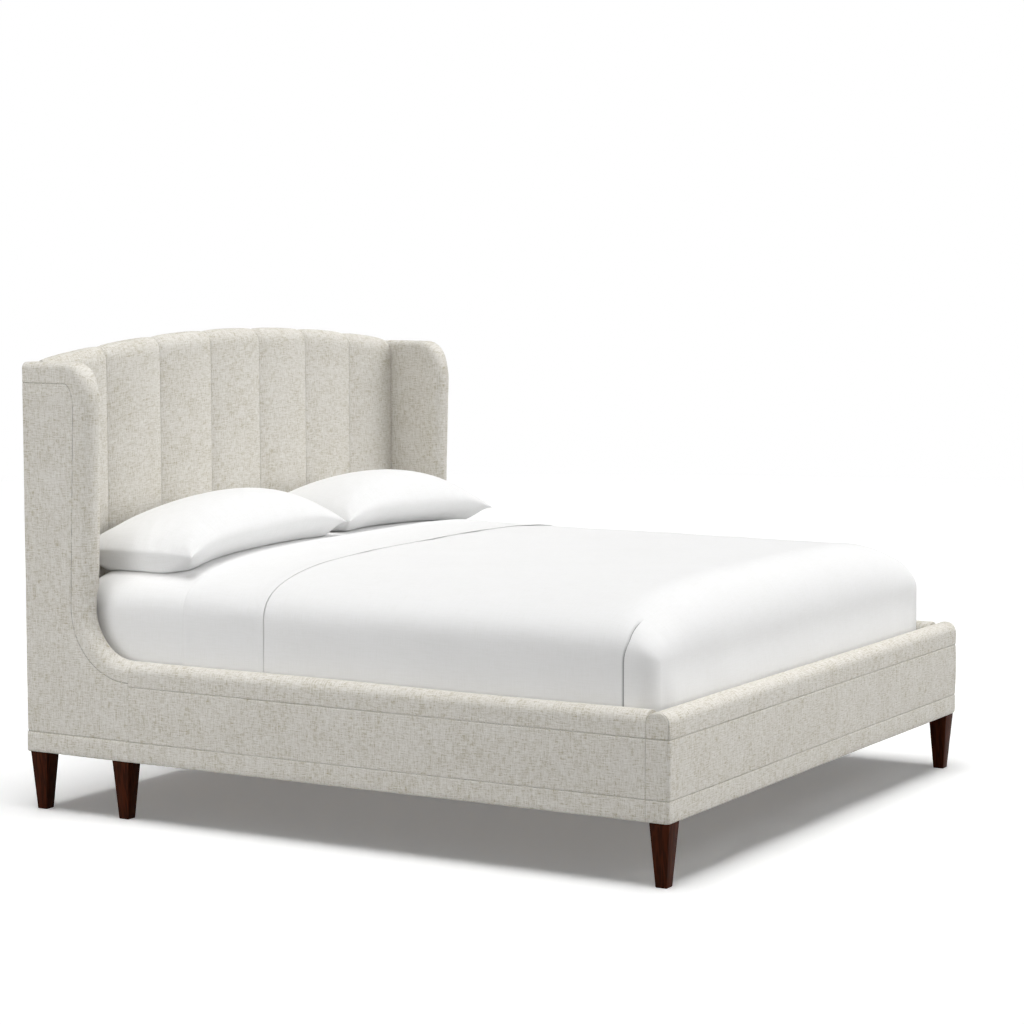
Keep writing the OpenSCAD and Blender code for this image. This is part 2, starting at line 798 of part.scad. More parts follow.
module pillow_form(side, droop, down) {
    nu = len(PILLOW_U);
    nv = len(PILLOW_V);
    sheet = nu * nv;
    points = [for (rise = [pillow_up, -down])
        for (a = PILLOW_U)
            for (b = PILLOW_V)
                pillow_point(sin(a), sin(b), rise, side, droop)];
    cells = [for (i = [0 : nu - 2])
        for (j = [0 : nv - 2])
            let (k = i * nv + j) [k, k + 1, k + nv + 1, k + nv]];
    upper = [for (c = cells) each [[c[0], c[1], c[2]], [c[0], c[2], c[3]]]];
    lower = [for (c = cells)
        each [[c[0] + sheet, c[2] + sheet, c[1] + sheet], [c[0] + sheet, c[3] + sheet, c[2] + sheet]]];
    rim = concat(
        [for (j = [0 : nv - 2]) [j + 1, j]],
        [for (i = [0 : nu - 2]) [i * nv, (i + 1) * nv]],
        [for (j = [0 : nv - 2]) [(nu - 1) * nv + j, (nu - 1) * nv + j + 1]],
        [for (i = [0 : nu - 2]) [(i + 2) * nv - 1, (i + 1) * nv - 1]]
    );
    edge = [for (e = rim)
        each [[e[0], e[1], e[1] + sheet], [e[0], e[1] + sheet, e[0] + sheet]]];
    polyhedron(points, concat(upper, lower, edge), convexity = 4);
}

// A pillow pressed flat where it rests on the fitted sheet.
module pillow(side, droop, down)
    color(LINEN) difference() {
        translate([side * pillow_x, pillow_y, pillow_z - droop / 2]) pillow_form(side, droop, down);
        along_y(y_mattress_foot, y_back) crown_section(pillow_seat, z_rail_top);
    }

// ---------------------------------------------------------------- nodes

headboard_panel();
headboard_post(-1);  // headboard_post_left
headboard_post(1);  // headboard_post_right
headboard_cross_rail();
headboard_back_cover();
for (i = [1 : channels])
    channel_pad(i);
wing_board(-1);  // wing_board_left
wing_board(1);  // wing_board_right
wing_cover(-1);  // wing_cover_left
wing_cover(1);  // wing_cover_right
side_rail_board(-1);  // side_rail_board_left
side_rail_board(1);  // side_rail_board_right
side_rail_cover(-1);  // side_rail_cover_left
side_rail_cover(1);  // side_rail_cover_right
foot_rail_board();
foot_rail_cover();
slat_ledge(-1);  // slat_ledge_left
slat_ledge(1);  // slat_ledge_right
head_corner_brackets();
foot_corner_brackets();
frame_bolts();
centre_beam();
beam_hangers();
centre_leg(-centre_leg_y);  // centre_leg_1
centre_leg(centre_leg_y);  // centre_leg_2
levelling_foot(-centre_leg_y);  // levelling_foot_1
levelling_foot(centre_leg_y);  // levelling_foot_2
for (i = [1 : slats])
    slat(i);
leg(-1, y_leg_rear);  // leg_rear_left
leg(1, y_leg_rear);  // leg_rear_right
leg(-1, y_leg_wing);  // leg_wing_left
leg(1, y_leg_wing);  // leg_wing_right
leg(-1, y_leg_foot);  // leg_foot_left
leg(1, y_leg_foot);  // leg_foot_right
leg_bolts();
mattress();
fitted_sheet();
coverlet();
top_sheet();
pillow(-1, pillow_droop, pillow_down);  // pillow_left
pillow(1, pillow_right_droop, pillow_right_down);  // pillow_right
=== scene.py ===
"""Dresses an upholstered wing-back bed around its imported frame.

Everything is in metres, +Z up, with the headboard at +Y and the origin on the floor under the
middle of the bed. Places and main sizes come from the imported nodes, and each class below adds
the padding, seams, cloth and finishes of one sub-assembly.
"""

from __future__ import annotations

import logging
import math
from collections.abc import Callable, Sequence
from dataclasses import dataclass, field
from enum import Enum
from functools import cache

import bmesh
import bpy
import numpy as np
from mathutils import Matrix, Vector


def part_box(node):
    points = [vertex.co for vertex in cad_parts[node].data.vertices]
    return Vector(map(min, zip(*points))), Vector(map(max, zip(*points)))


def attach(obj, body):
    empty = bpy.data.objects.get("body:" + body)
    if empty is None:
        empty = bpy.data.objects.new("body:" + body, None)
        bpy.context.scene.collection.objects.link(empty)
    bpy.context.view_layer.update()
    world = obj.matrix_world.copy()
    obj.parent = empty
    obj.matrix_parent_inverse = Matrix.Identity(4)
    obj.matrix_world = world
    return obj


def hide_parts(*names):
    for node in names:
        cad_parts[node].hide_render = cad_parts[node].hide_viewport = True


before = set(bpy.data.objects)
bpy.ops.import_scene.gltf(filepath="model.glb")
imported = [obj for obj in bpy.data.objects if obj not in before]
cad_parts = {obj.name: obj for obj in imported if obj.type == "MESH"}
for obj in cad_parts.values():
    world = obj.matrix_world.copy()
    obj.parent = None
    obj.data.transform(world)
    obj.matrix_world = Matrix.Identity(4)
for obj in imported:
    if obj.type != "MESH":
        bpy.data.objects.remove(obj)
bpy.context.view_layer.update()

LOG = logging.getLogger("bed")
CLOTH_UV = "cloth"
# Name of the mesh attribute for seam lines, which also carries painted shade lines: the coverlet's pleat
# shadow, the cuff's hem line and the joints between padded pieces.
SEAM_AND_SHADE = "seam"
WELD = 1e-5
# Strength of the seam colour at the ends of padded pieces: partly the joint's seam, partly painted shade in
# the gap.
END_ROUND = 0.0018
END_JOINT_SHADE = 0.45
ARCH_R = 7.160
WALL_RIPPLE = np.array([1.0, 1.0, 1.7])

Colour = tuple[float, float, float]


class Side(Enum):
    """Side of the bed, as the sign of its x."""

    LEFT = -1
    RIGHT = 1


class Grain(Enum):
    """Axis that a board's grain runs along."""

    X = 0
    Y = 1
    Z = 2


def srgb(red: int, green: int, blue: int) -> Colour:
    """Returns a colour written as 0 to 255 in the shader's linear values."""
    return tuple(
        c / 12.92 if c <= 0.04045 else ((c + 0.055) / 1.055) ** 2.4
        for c in (red / 255, green / 255, blue / 255)
    )


# ---- meshes


def smoothstep(low: float, high: float, value: np.ndarray | float) -> np.ndarray:
    """Returns 0 below low, 1 above high and a smooth rise between."""
    t = np.clip((value - low) / (high - low), 0.0, 1.0)
    return t * t * (3.0 - 2.0 * t)


def running_length(points: np.ndarray) -> np.ndarray:
    """Returns the distance along a line of points at each of them."""
    steps = np.linalg.norm(np.diff(points, axis=0), axis=1)
    return np.concatenate([[0.0], np.cumsum(steps)])


def quarter(count: int) -> np.ndarray:
    """Returns angles from 0 to a right angle."""
    return np.radians(np.linspace(0, 90, count))


def coords(*axes: np.ndarray | float) -> np.ndarray:
    """Returns points from their coordinates, each spread over all of the points."""
    return np.stack(np.broadcast_arrays(*axes), axis=-1)


def deselect_all() -> None:
    """Deselects every object, so that an operator acts only on what is selected next."""
    for piece in bpy.context.selected_objects:
        piece.select_set(False)


def make_active(piece: bpy.types.Object) -> None:
    """Selects one object alone and makes it the active one."""
    deselect_all()
    piece.select_set(True)
    bpy.context.view_layer.objects.active = piece


def shade(piece: bpy.types.Object, angle: float = 40.0) -> None:
    """Shades a piece smoothly but for edges sharper than an angle in degrees."""
    make_active(piece)
    bpy.ops.object.shade_smooth_by_angle(angle=math.radians(angle))


def apply_modifiers(piece: bpy.types.Object) -> None:
    """Applies each modifier of a piece in order."""
    make_active(piece)
    for modifier in list(piece.modifiers):
        bpy.ops.object.modifier_apply(modifier=modifier.name)


def thicken(piece: bpy.types.Object, thick: float, offset: float) -> None:
    """Gives an open sheet its thickness, inward where the offset is -1 and both ways where it is 0."""
    wall = piece.modifiers.new("thickness", "SOLIDIFY")
    wall.thickness = thick
    wall.offset = offset
    wall.use_even_offset = False
    apply_modifiers(piece)


def coordinates(mesh: bpy.types.Mesh) -> np.ndarray:
    """Returns a mesh's vertices as rows of x, y and z."""
    flat = np.zeros(len(mesh.vertices) * 3)
    mesh.vertices.foreach_get("co", flat)
    return flat.reshape(-1, 3)


@dataclass
class Ripple:
    """Gentle unevenness of stuffed cloth, the same at each run."""

    seed: int
    size: float
    height: float
    waves: int = 9

    def at(self, points: np.ndarray) -> np.ndarray:
        """Returns the height of the ripple at each point.

        Args:
            points: Places in metres, with x, y and z last.

        Returns:
            Heights in metres.
        """
        rng = np.random.default_rng(self.seed)
        total = np.zeros(points.shape[:-1])
        for _ in range(self.waves):
            direction = rng.normal(size=3)
            direction /= np.linalg.norm(direction)
            pitch = self.size * rng.uniform(0.6, 1.9)
            total += np.sin(points @ direction * (2 * math.pi / pitch) + rng.uniform(0, 2 * math.pi))
        return total * self.height / math.sqrt(self.waves)


class Skin:
    """Patches of cloth that are joined into one mesh, with their cloth coordinates and seam lines, some of
    which are painted shade.
    """

    def __init__(self) -> None:
        """Starts with no patch."""
        self.points: list[np.ndarray] = []
        self.faces: list[list[int]] = []
        self.uvs: list[np.ndarray] = []
        self.seams: list[np.ndarray] = []
        self.count = 0

    def patch(
        self,
        points: np.ndarray,
        u: np.ndarray,
        v: np.ndarray,
        seam: np.ndarray | float = 0.0,
        wrap: float = 0.0,
    ) -> None:
        """Adds a grid of points.

        Args:
            points: Rows by columns by x, y and z.
            u: Cloth coordinate across, spread over the grid.
            v: Cloth coordinate along, spread over the grid.
            seam: Strength of seam lines and painted shade lines from 0 to 1, spread over the grid.
            wrap: Length round the grid if its last column joins its first, or 0.
        """
        rows, cols = points.shape[:2]
        u, v, seam = (np.broadcast_to(values, (rows, cols)) for values in (u, v, seam))
        index = self.count + np.arange(rows * cols).reshape(rows, cols)
        spans = cols if wrap else cols - 1
        j = np.arange(spans)
        after = (j + 1) % cols
        turned = np.where(j + 1 >= cols, wrap, 0.0)
        corners = [(0, j, 0.0), (0, after, turned), (1, after, turned), (1, j, 0.0)]
        faces = np.stack([index[a : rows - 1 + a, c] for a, c, _ in corners], axis=-1)
        loops = [coords(u[a : rows - 1 + a, c] + extra, v[a : rows - 1 + a, c]) for a, c, extra in corners]
        self.points.append(points.reshape(-1, 3))
        self.faces.extend(faces.reshape(-1, 4).tolist())
        self.uvs.append(np.stack(loops, axis=2).reshape(-1, 2))
        self.seams.append(seam.reshape(-1))
        self.count += rows * cols

    def cap(self, ring: np.ndarray, flat: np.ndarray) -> None:
        """Adds one flat face.

        Args:
            ring: Points round the face.
            flat: Cloth coordinates of the points.
        """
        self.points.append(ring)
        self.faces.append([self.count + i for i in range(len(ring))])
        self.uvs.append(flat)
        self.seams.append(np.zeros(len(ring)))
        self.count += len(ring)

    def build(self, name: str, upward: bool = False) -> bpy.types.Object:
        """Joins the patches.

        Args:
            name: Name of the piece.
            upward: True for an open sheet whose faces should look up.

        Returns:
            The piece, at the origin.
        """
        mesh = bpy.data.meshes.new(name)
        mesh.from_pydata(np.concatenate(self.points).tolist(), [], self.faces)
        mesh.uv_layers.new(name=CLOTH_UV).data.foreach_set("uv", np.concatenate(self.uvs).ravel())
        seam = mesh.attributes.new(SEAM_AND_SHADE, "FLOAT", "POINT")
        seam.data.foreach_set("value", np.concatenate(self.seams).astype(np.float32))
        piece = bpy.data.objects.new(name, mesh)
        bpy.context.scene.collection.objects.link(piece)
        work = bmesh.new()
        work.from_mesh(mesh)
        bmesh.ops.remove_doubles(work, verts=work.verts, dist=WELD)
        bmesh.ops.dissolve_degenerate(work, edges=work.edges, dist=0.1 * WELD)
        bmesh.ops.recalc_face_normals(work, faces=work.faces)
        if upward:
            facing = sum(face.normal.z * face.calc_area() for face in work.faces)
        else:
            facing = work.calc_volume(signed=True)
        if facing < 0:
            bmesh.ops.reverse_faces(work, faces=work.faces)
        work.to_mesh(mesh)
        work.free()
        shade(piece)
        return piece


def closed_normals(outline: np.ndarray) -> np.ndarray:
    """Returns the outward normals of a closed flat outline that runs either way round."""
    ahead = np.roll(outline, -1, axis=0) - np.roll(outline, 1, axis=0)
    ahead /= np.maximum(np.linalg.norm(ahead, axis=1, keepdims=True), 1e-9)
    x, y = outline[:, 0], outline[:, 1]
    turn = np.sign(np.sum(x * np.roll(y, -1) - np.roll(x, -1) * y))
    return turn * coords(ahead[:, 1], -ahead[:, 0])


def edge_round(distance: np.ndarray | float, radius: float) -> np.ndarray:
    """Returns how far a face draws back near an edge that is rounded over a radius."""
    near = 1.0 - np.clip(distance / radius, 0.0, 1.0)
    return radius * (1.0 - np.sqrt(np.maximum(0.0, 1.0 - near * near)))


def near_edges(radius: float) -> np.ndarray:
    """Returns distances from an edge at which a rounding needs points."""
    return radius * np.array([0.0, 0.06, 0.2, 0.42, 0.7, 1.0])


@dataclass
class Stitching:
    """A sewn seam: a narrow valley with a low ridge on each side."""

    depth: float = 0.0013
    width: float = 0.0014
    ridge: float = 0.0003
    ridge_away: float = 0.0052

    def relief(self, distance: np.ndarray) -> np.ndarray:
        """Returns the height of the cloth at a distance from the seam."""
        valley = -self.depth * np.exp(-((distance / self.width) ** 2))
        ridge = np.exp(-(((np.abs(distance) - self.ridge_away) / (0.45 * self.ridge_away)) ** 2))
        return valley + self.ridge * ridge

    def mask(self, distance: np.ndarray) -> np.ndarray:
        """Returns 1 in the seam and 0 away from it."""
        return np.exp(-((distance / (0.62 * self.width)) ** 2))

    def places(self) -> np.ndarray:
        """Returns distances either side of the seam at which it needs points."""
        away = np.array([0.0, 0.0008, 0.0016, 0.0028, 0.0042, 0.0056, 0.0080, 0.0115])
        return np.unique(np.concatenate([-away, away]))


def with_seams(low: float, high: float, seams: Sequence[float], step: float) -> np.ndarray:
    """Returns places from low to high, closer together at each seam."""
    count = max(2, round((high - low) / step) + 1)
    plain = np.linspace(low, high, count)
    sewn = Stitching().places()
    for seam in seams:
        plain = plain[np.abs(plain - seam) > sewn[-1] + 0.3 * step]
    places = np.concatenate([plain, *[seam + sewn for seam in seams]])
    return np.unique(places[(places >= low) & (places <= high)])


# ---- finishes


class Graph:
    """Adds and links the nodes of one node tree."""

    def __init__(self, tree: bpy.types.NodeTree) -> None:
        """Keeps the tree that the nodes go into."""
        self.tree = tree

    def add(self, kind: str, **values: object) -> bpy.types.Node:
        """Adds a node.

        Args:
            kind: Type of the node.
            **values: Properties of the node, or with a leading "in_" the value of an input, whose
                spaces are written as "_".

        Returns:
            The node.
        """
        node = self.tree.nodes.new(kind)
        for key, value in values.items():
            if key.startswith("in_"):
                name = key[3:].replace("_", " ")
                socket = node.inputs[int(name)] if name.isdigit() else node.inputs[name]
                socket.default_value = value
            else:
                setattr(node, key, value)
        return node

    def link(self, source: bpy.types.NodeSocket, target: bpy.types.NodeSocket) -> None:
        """Links an output to an input."""
        self.tree.links.new(source, target)

    def maths(self, operation: str, *inputs: bpy.types.NodeSocket | float) -> bpy.types.NodeSocket:
        """Adds a Math node.

        Args:
            operation: What the node does.
            *inputs: Sockets or numbers.

        Returns:
            Its value.
        """
        return self.feed(self.add("ShaderNodeMath", operation=operation), inputs)

    def weighed(
        self, first: bpy.types.NodeSocket, share: float, second: bpy.types.NodeSocket, rest: float
    ) -> bpy.types.NodeSocket:
        """Returns the sum of two values, each times its share."""
        return self.maths("ADD", self.maths("MULTIPLY", first, share), self.maths("MULTIPLY", second, rest))

    def vector(self, *inputs: bpy.types.NodeSocket | float) -> bpy.types.NodeSocket:
        """Adds a Combine XYZ node for up to three sockets or numbers and returns its vector."""
        return self.feed(self.add("ShaderNodeCombineXYZ"), inputs)

    def feed(
        self, node: bpy.types.Node, inputs: Sequence[bpy.types.NodeSocket | float]
    ) -> bpy.types.NodeSocket:
        """Sets or links a node's inputs in order and returns its first output."""
        for socket, value in zip(node.inputs, inputs):
            if isinstance(value, (int, float)):
                socket.default_value = value
            else:
                self.link(value, socket)
        return node.outputs[0]

    def split(self, vector: bpy.types.NodeSocket) -> tuple[bpy.types.NodeSocket, ...]:
        """Adds a Separate XYZ node and returns its three values."""
        node = self.add("ShaderNodeSeparateXYZ")
        self.link(vector, node.inputs[0])
        return tuple(node.outputs)

    def noise(self, where: bpy.types.NodeSocket, detail: float, rough: float = 0.5) -> bpy.types.NodeSocket:
        """Adds a noise of unit size at a vector and returns its value."""
        node = self.add("ShaderNodeTexNoise", in_Scale=1.0, in_Detail=detail, in_Roughness=rough)
        self.link(where, node.inputs["Vector"])
        return node.outputs[0]

    def ramp(
        self, value: bpy.types.NodeSocket, stops: Sequence[tuple[float, Colour]]
    ) -> bpy.types.NodeSocket:
        """Adds a Color Ramp.

        Args:
            value: Value that picks the colour.
            stops: Places from 0 to 1, each with its colour.

        Returns:
            The colour.
        """
        node = self.add("ShaderNodeValToRGB")
        elements = node.color_ramp.elements
        while len(elements) < len(stops):
            elements.new(0.5)
        for element, (place, colour) in zip(elements, stops):
            element.position = place
            element.color = (*colour, 1.0)
        self.link(value, node.inputs[0])
        return node.outputs[0]

    def mix(
        self,
        share: bpy.types.NodeSocket,
        first: bpy.types.NodeSocket | Colour,
        second: bpy.types.NodeSocket | Colour,
    ) -> bpy.types.NodeSocket:
        """Adds a colour Mix node and returns its colour."""
        node = self.add("ShaderNodeMix", data_type="RGBA")
        self.link(share, node.inputs[0])
        for place, value in ((6, first), (7, second)):
            if isinstance(value, tuple):
                node.inputs[place].default_value = (*value, 1.0)
            else:
                self.link(value, node.inputs[place])
        return node.outputs[2]


def new_group(
    name: str, inputs: Sequence[tuple[str, str, float | None]], outputs: Sequence[str]
) -> tuple[Graph, bpy.types.Node, bpy.types.Node]:
    """Starts a shader node group.

    Args:
        name: Name of the group.
        inputs: Name, socket type and default value of each input.
        outputs: Names of its outputs, each a number that changes over the surface.

    Returns:
        The group's graph, its input node and its output node.
    """
    tree = bpy.data.node_groups.new(name, "ShaderNodeTree")
    for label, kind, value in inputs:
        socket = tree.interface.new_socket(name=label, in_out="INPUT", socket_type=kind)
        if value is not None:
            socket.default_value = value
    for label in outputs:
        tree.interface.new_socket(name=label, in_out="OUTPUT", socket_type="NodeSocketFloat")
    graph = Graph(tree)
    return graph, graph.add("NodeGroupInput"), graph.add("NodeGroupOutput")


class Effects:
    """The node groups that more than one finish uses, each made once."""

    @staticmethod
    @cache
    def heather() -> bpy.types.NodeTree:
        """Returns the group of yarns that thicken and change colour along their length."""
        graph, inside, outside = new_group(
            "heathered_yarns",
            [
                ("Vector", "NodeSocketVector", None),
                ("Slub Length", "NodeSocketFloat", 0.02),
                ("Slub Width", "NodeSocketFloat", 0.003),
                ("Patch Size", "NodeSocketFloat", 0.08),
            ],
            ["Shade", "Across", "Along"],
        )
        u, v, _ = graph.split(inside.outputs["Vector"])
        length, width, patch = (inside.outputs[n] for n in ("Slub Length", "Slub Width", "Patch Size"))

        def scaled(a: bpy.types.NodeSocket, b: bpy.types.NodeSocket, layer: float) -> bpy.types.NodeSocket:
            """Returns the cloth coordinates divided by two sizes, on one layer of noise."""
            return graph.vector(graph.maths("DIVIDE", u, a), graph.maths("DIVIDE", v, b), layer)

        across = graph.noise(scaled(length, width, 0.0), 2.0, 0.55)
        along = graph.noise(scaled(width, length, 7.3), 2.0, 0.55)
        grain = graph.noise(scaled(width, width, 3.1), 3.0, 0.7)
        cloud = graph.noise(scaled(patch, patch, 11.7), 2.0, 0.5)
        yarns = graph.weighed(across, 0.42, along, 0.36)
        fine = graph.weighed(grain, 0.40, cloud, 0.10)
        graph.link(graph.maths("SUBTRACT", graph.maths("ADD", yarns, fine), 0.14), outside.inputs["Shade"])
        graph.link(across, outside.inputs["Across"])
        graph.link(along, outside.inputs["Along"])
        return graph.tree

    @staticmethod
    @cache
    def weave() -> bpy.types.NodeTree:
        """Returns the group of a plain weave's height, one thread over the next."""
        graph, inside, outside = new_group(
            "plain_weave",
            [("Vector", "NodeSocketVector", None), ("Pitch", "NodeSocketFloat", 0.0016)],
            ["Height"],
        )
        turns = []
        for axis in graph.split(inside.outputs["Vector"])[:2]:
            length = graph.maths("MULTIPLY", axis, math.pi)
            turns.append(graph.maths("SINE", graph.maths("DIVIDE", length, inside.outputs["Pitch"])))
        height = graph.maths("MULTIPLY_ADD", graph.maths("MULTIPLY", *turns), 0.5, 0.5)
        graph.link(height, outside.inputs["Height"])
        return graph.tree

    @staticmethod
    @cache
    def grain() -> bpy.types.NodeTree:
        """Returns the group of wood grain, its rings and its pores."""
        graph, inside, outside = new_group(
            "wood_grain",
            [
                ("Vector", "NodeSocketVector", None),
                ("Ring Size", "NodeSocketFloat", 0.02),
                ("Stretch", "NodeSocketFloat", 14.0),
            ],
            ["Rings", "Pores"],
        )
        x, y, z = graph.split(inside.outputs["Vector"])
        ring = inside.outputs["Ring Size"]
        long = graph.maths("MULTIPLY", ring, inside.outputs["Stretch"])

        def stretched(share: float) -> bpy.types.NodeSocket:
            """Returns the place divided by a share of the ring size, drawn out along z."""
            size = graph.maths("MULTIPLY", ring, share)
            reach = graph.maths("MULTIPLY", long, share)
            pairs = ((x, size), (y, size), (z, reach))
            return graph.vector(*(graph.maths("DIVIDE", a, b) for a, b in pairs))

        broad = graph.noise(stretched(1.0), 2.0, 0.55)
        wave = graph.maths("SINE", graph.maths("MULTIPLY", broad, 30.0))
        rings = graph.maths("MULTIPLY_ADD", wave, 0.5, 0.5)
        pores = graph.noise(stretched(0.06), 3.0, 0.6)
        graph.link(rings, outside.inputs["Rings"])
        graph.link(pores, outside.inputs["Pores"])
        return graph.tree


def blank_graph(owner: bpy.types.Material | bpy.types.World) -> Graph:
    """Returns the emptied graph of a material or a world."""
    owner.use_nodes = True
    owner.node_tree.nodes.clear()
    return Graph(owner.node_tree)


def start_material(name: str, **shader: object) -> tuple[bpy.types.Material, Graph, bpy.types.Node]:
    """Starts a material with a Principled shader.

    Args:
        name: Name of the material.
        **shader: Values for the shader's own sockets, as Graph.add takes them.

    Returns:
        The material, its graph and its shader node.
    """
    material = bpy.data.materials.new(name)
    graph = blank_graph(material)
    principled = graph.add("ShaderNodeBsdfPrincipled", **shader)
    output = graph.add("ShaderNodeOutputMaterial")
    graph.link(principled.outputs[0], output.inputs["Surface"])
    return material, graph, principled


def use_group(
    graph: Graph, tree: bpy.types.NodeTree, where: bpy.types.NodeSocket, **values: float
) -> bpy.types.Node:
    """Places a node group with its own values and returns its node."""
    node = graph.add("ShaderNodeGroup", node_tree=tree, **{f"in_{k}": v for k, v in values.items()})
    graph.link(where, node.inputs["Vector"])
    return node


def add_bump(
    graph: Graph, principled: bpy.types.Node, height: bpy.types.NodeSocket, distance: float
) -> None:
    """Feeds a height into the shader's normal, where a height of 1 is a distance in metres."""
    bump = graph.add("ShaderNodeBump", in_Distance=distance, in_Strength=1.0)
    graph.link(height, bump.inputs["Height"])
    graph.link(bump.outputs[0], principled.inputs["Normal"])


@dataclass(frozen=True)
class HeatheredTweed:
    """A heathered linen tweed with slubs both ways."""

    name: str = "heathered_tweed"
    flecks: Colour = srgb(181, 172, 147)
    oatmeal: Colour = srgb(204, 200, 189)
    ground: Colour = srgb(215, 211, 203)
    pale: Colour = srgb(221, 218, 211)
    bright: Colour = srgb(230, 228, 222)
    # Stitch colour, also painted as shade in the joints between padded pieces.
    stitch_and_shade: Colour = srgb(104, 97, 86)
    slub_length: float = 0.024
    slub_width: float = 0.0036
    patch_size: float = 0.085
    pitch: float = 0.0024
    bump: float = 0.0007

    def material(self) -> bpy.types.Material:
        """Returns the material."""
        material, graph, principled = start_material(
            self.name,
            in_Roughness=0.95,
            in_Specular_IOR_Level=0.10,
            in_Sheen_Weight=0.02,
            in_Sheen_Roughness=0.6,
        )
        cloth = graph.add("ShaderNodeUVMap", uv_map=CLOTH_UV).outputs[0]
        yarns = use_group(
            graph,
            Effects.heather(),
            cloth,
            Slub_Length=self.slub_length,
            Slub_Width=self.slub_width,
            Patch_Size=self.patch_size,
        )
        shades = zip(
            (0.36, 0.44, 0.50, 0.56, 0.66), (self.flecks, self.oatmeal, self.ground, self.pale, self.bright)
        )
        colour = graph.ramp(yarns.outputs["Shade"], list(shades))
        # The seam attribute mixes in the stitch colour along seams, and as painted shade in the joints
        # between padded pieces.
        seam = graph.add("ShaderNodeAttribute", attribute_name=SEAM_AND_SHADE).outputs["Fac"]
        uneven = graph.maths("MULTIPLY_ADD", yarns.outputs["Along"], 2.2, -0.72)
        sewn = graph.mix(graph.maths("MULTIPLY", seam, uneven), colour, self.stitch_and_shade)
        graph.link(sewn, principled.inputs["Base Color"])
        threads = use_group(graph, Effects.weave(), cloth, Pitch=self.pitch)
        height = graph.maths(
            "ADD",
            graph.maths("MULTIPLY", threads.outputs[0], 0.35),
            graph.maths("ADD", yarns.outputs["Across"], yarns.outputs["Along"]),
        )
        add_bump(graph, principled, height, self.bump)
        return material


@dataclass(frozen=True)
class WashedCotton:
    """Plain woven bed linen with faint slubs."""

    name: str
    white: Colour = srgb(236, 236, 236)
    thread: Colour = srgb(232, 232, 231)
    # Stitch colour, also painted as shade along the coverlet's pleat and the cuff's hem line.
    stitch_and_shade: Colour = srgb(84, 84, 83)
    pitch: float = 0.0009
    bump: float = 0.00012

    def material(self) -> bpy.types.Material:
        """Returns the material."""
        material, graph, principled = start_material(
            self.name,
            in_Roughness=0.86,
            in_Specular_IOR_Level=0.3,
            in_Sheen_Weight=0.08,
            in_Sheen_Roughness=0.5,
        )
        cloth = graph.add("ShaderNodeUVMap", uv_map=CLOTH_UV).outputs[0]
        yarns = use_group(
            graph, Effects.heather(), cloth, Slub_Length=0.05, Slub_Width=0.0022, Patch_Size=0.2
        )
        colour = graph.ramp(yarns.outputs["Shade"], [(0.40, self.thread), (0.56, self.white)])
        # The seam attribute mixes in the stitch colour along the dust cover's seams, and as painted shade
        # for the coverlet's pleat shadow and the cuff's hem line.
        seam = graph.add("ShaderNodeAttribute", attribute_name=SEAM_AND_SHADE).outputs["Fac"]
        graph.link(graph.mix(seam, colour, self.stitch_and_shade), principled.inputs["Base Color"])
        threads = use_group(graph, Effects.weave(), cloth, Pitch=self.pitch)
        height = graph.maths("ADD", threads.outputs[0], yarns.outputs["Across"])
        add_bump(graph, principled, height, self.bump)
        return material


@dataclass(frozen=True)
class SolidWood:
    """Wood with rings and pores along a board's length, oiled or lacquered."""

    name: str
    dark: Colour
    light: Colour
    grain: Grain
    ring_size: float = 0.03
    roughness: float = 0.5
    specular: float = 0.5
    bump: float = 0.00015

    def material(self) -> bpy.types.Material:
        """Returns the material."""
        material, graph, principled = start_material(
            self.name, in_Roughness=self.roughness, in_Specular_IOR_Level=self.specular
        )
        x, y, z = graph.split(graph.add("ShaderNodeTexCoord").outputs["Object"])
        turned = {Grain.X: (y, z, x), Grain.Y: (x, z, y), Grain.Z: (x, y, z)}[self.grain]
        grain = use_group(graph, Effects.grain(), graph.vector(*turned), Ring_Size=self.ring_size)
        figure = graph.weighed(grain.outputs["Rings"], 0.55, grain.outputs["Pores"], 0.45)
        colour = graph.ramp(figure, [(0.2, self.dark), (0.8, self.light)])
        graph.link(colour, principled.inputs["Base Color"])
        rough = graph.maths("MULTIPLY_ADD", grain.outputs["Pores"], 0.2, self.roughness - 0.1)
        graph.link(rough, principled.inputs["Roughness"])
        add_bump(graph, principled, grain.outputs["Pores"], self.bump)
        return material


@dataclass(frozen=True)
class ZincSteel:
    """Zinc-plated steel with fine scratches."""

    name: str
    pale: Colour = srgb(188, 190, 192)
    dull: Colour = srgb(150, 152, 155)

    def material(self) -> bpy.types.Material:
        """Returns the material."""
        material, graph, principled = start_material(self.name, in_Metallic=1.0, in_Roughness=0.35)
        place = graph.add("ShaderNodeTexCoord").outputs["Object"]
        grain = use_group(graph, Effects.grain(), place, Ring_Size=0.012, Stretch=3.0)
        colour = graph.ramp(grain.outputs["Pores"], [(0.3, self.dull), (0.7, self.pale)])
        graph.link(colour, principled.inputs["Base Color"])
        rough = graph.maths("MULTIPLY_ADD", grain.outputs["Pores"], 0.3, 0.22)
        graph.link(rough, principled.inputs["Roughness"])
        add_bump(graph, principled, grain.outputs["Pores"], 0.00004)
        return material


def dress(piece: bpy.types.Object, material: bpy.types.Material) -> None:
    """Gives every face of a piece one material."""
    piece.data.materials.clear()
    piece.data.materials.append(material)


# ---- padded rails


def underside(thick: float, radius: float) -> np.ndarray:
    """Returns the rounded underside of a section, from its inner face round to its outer one."""
    turn = quarter(4)
    inside = coords(thick - radius * (1 - np.cos(turn)), radius * (1 - np.sin(turn)))
    flat = np.linspace(thick - radius, radius, 5)[1:-1]
    floor = coords(flat, 0.0)
    outside = coords(radius * (1 - np.sin(turn)), radius * (1 - np.cos(turn)))[:-1]
    return np.concatenate([inside, floor, outside])


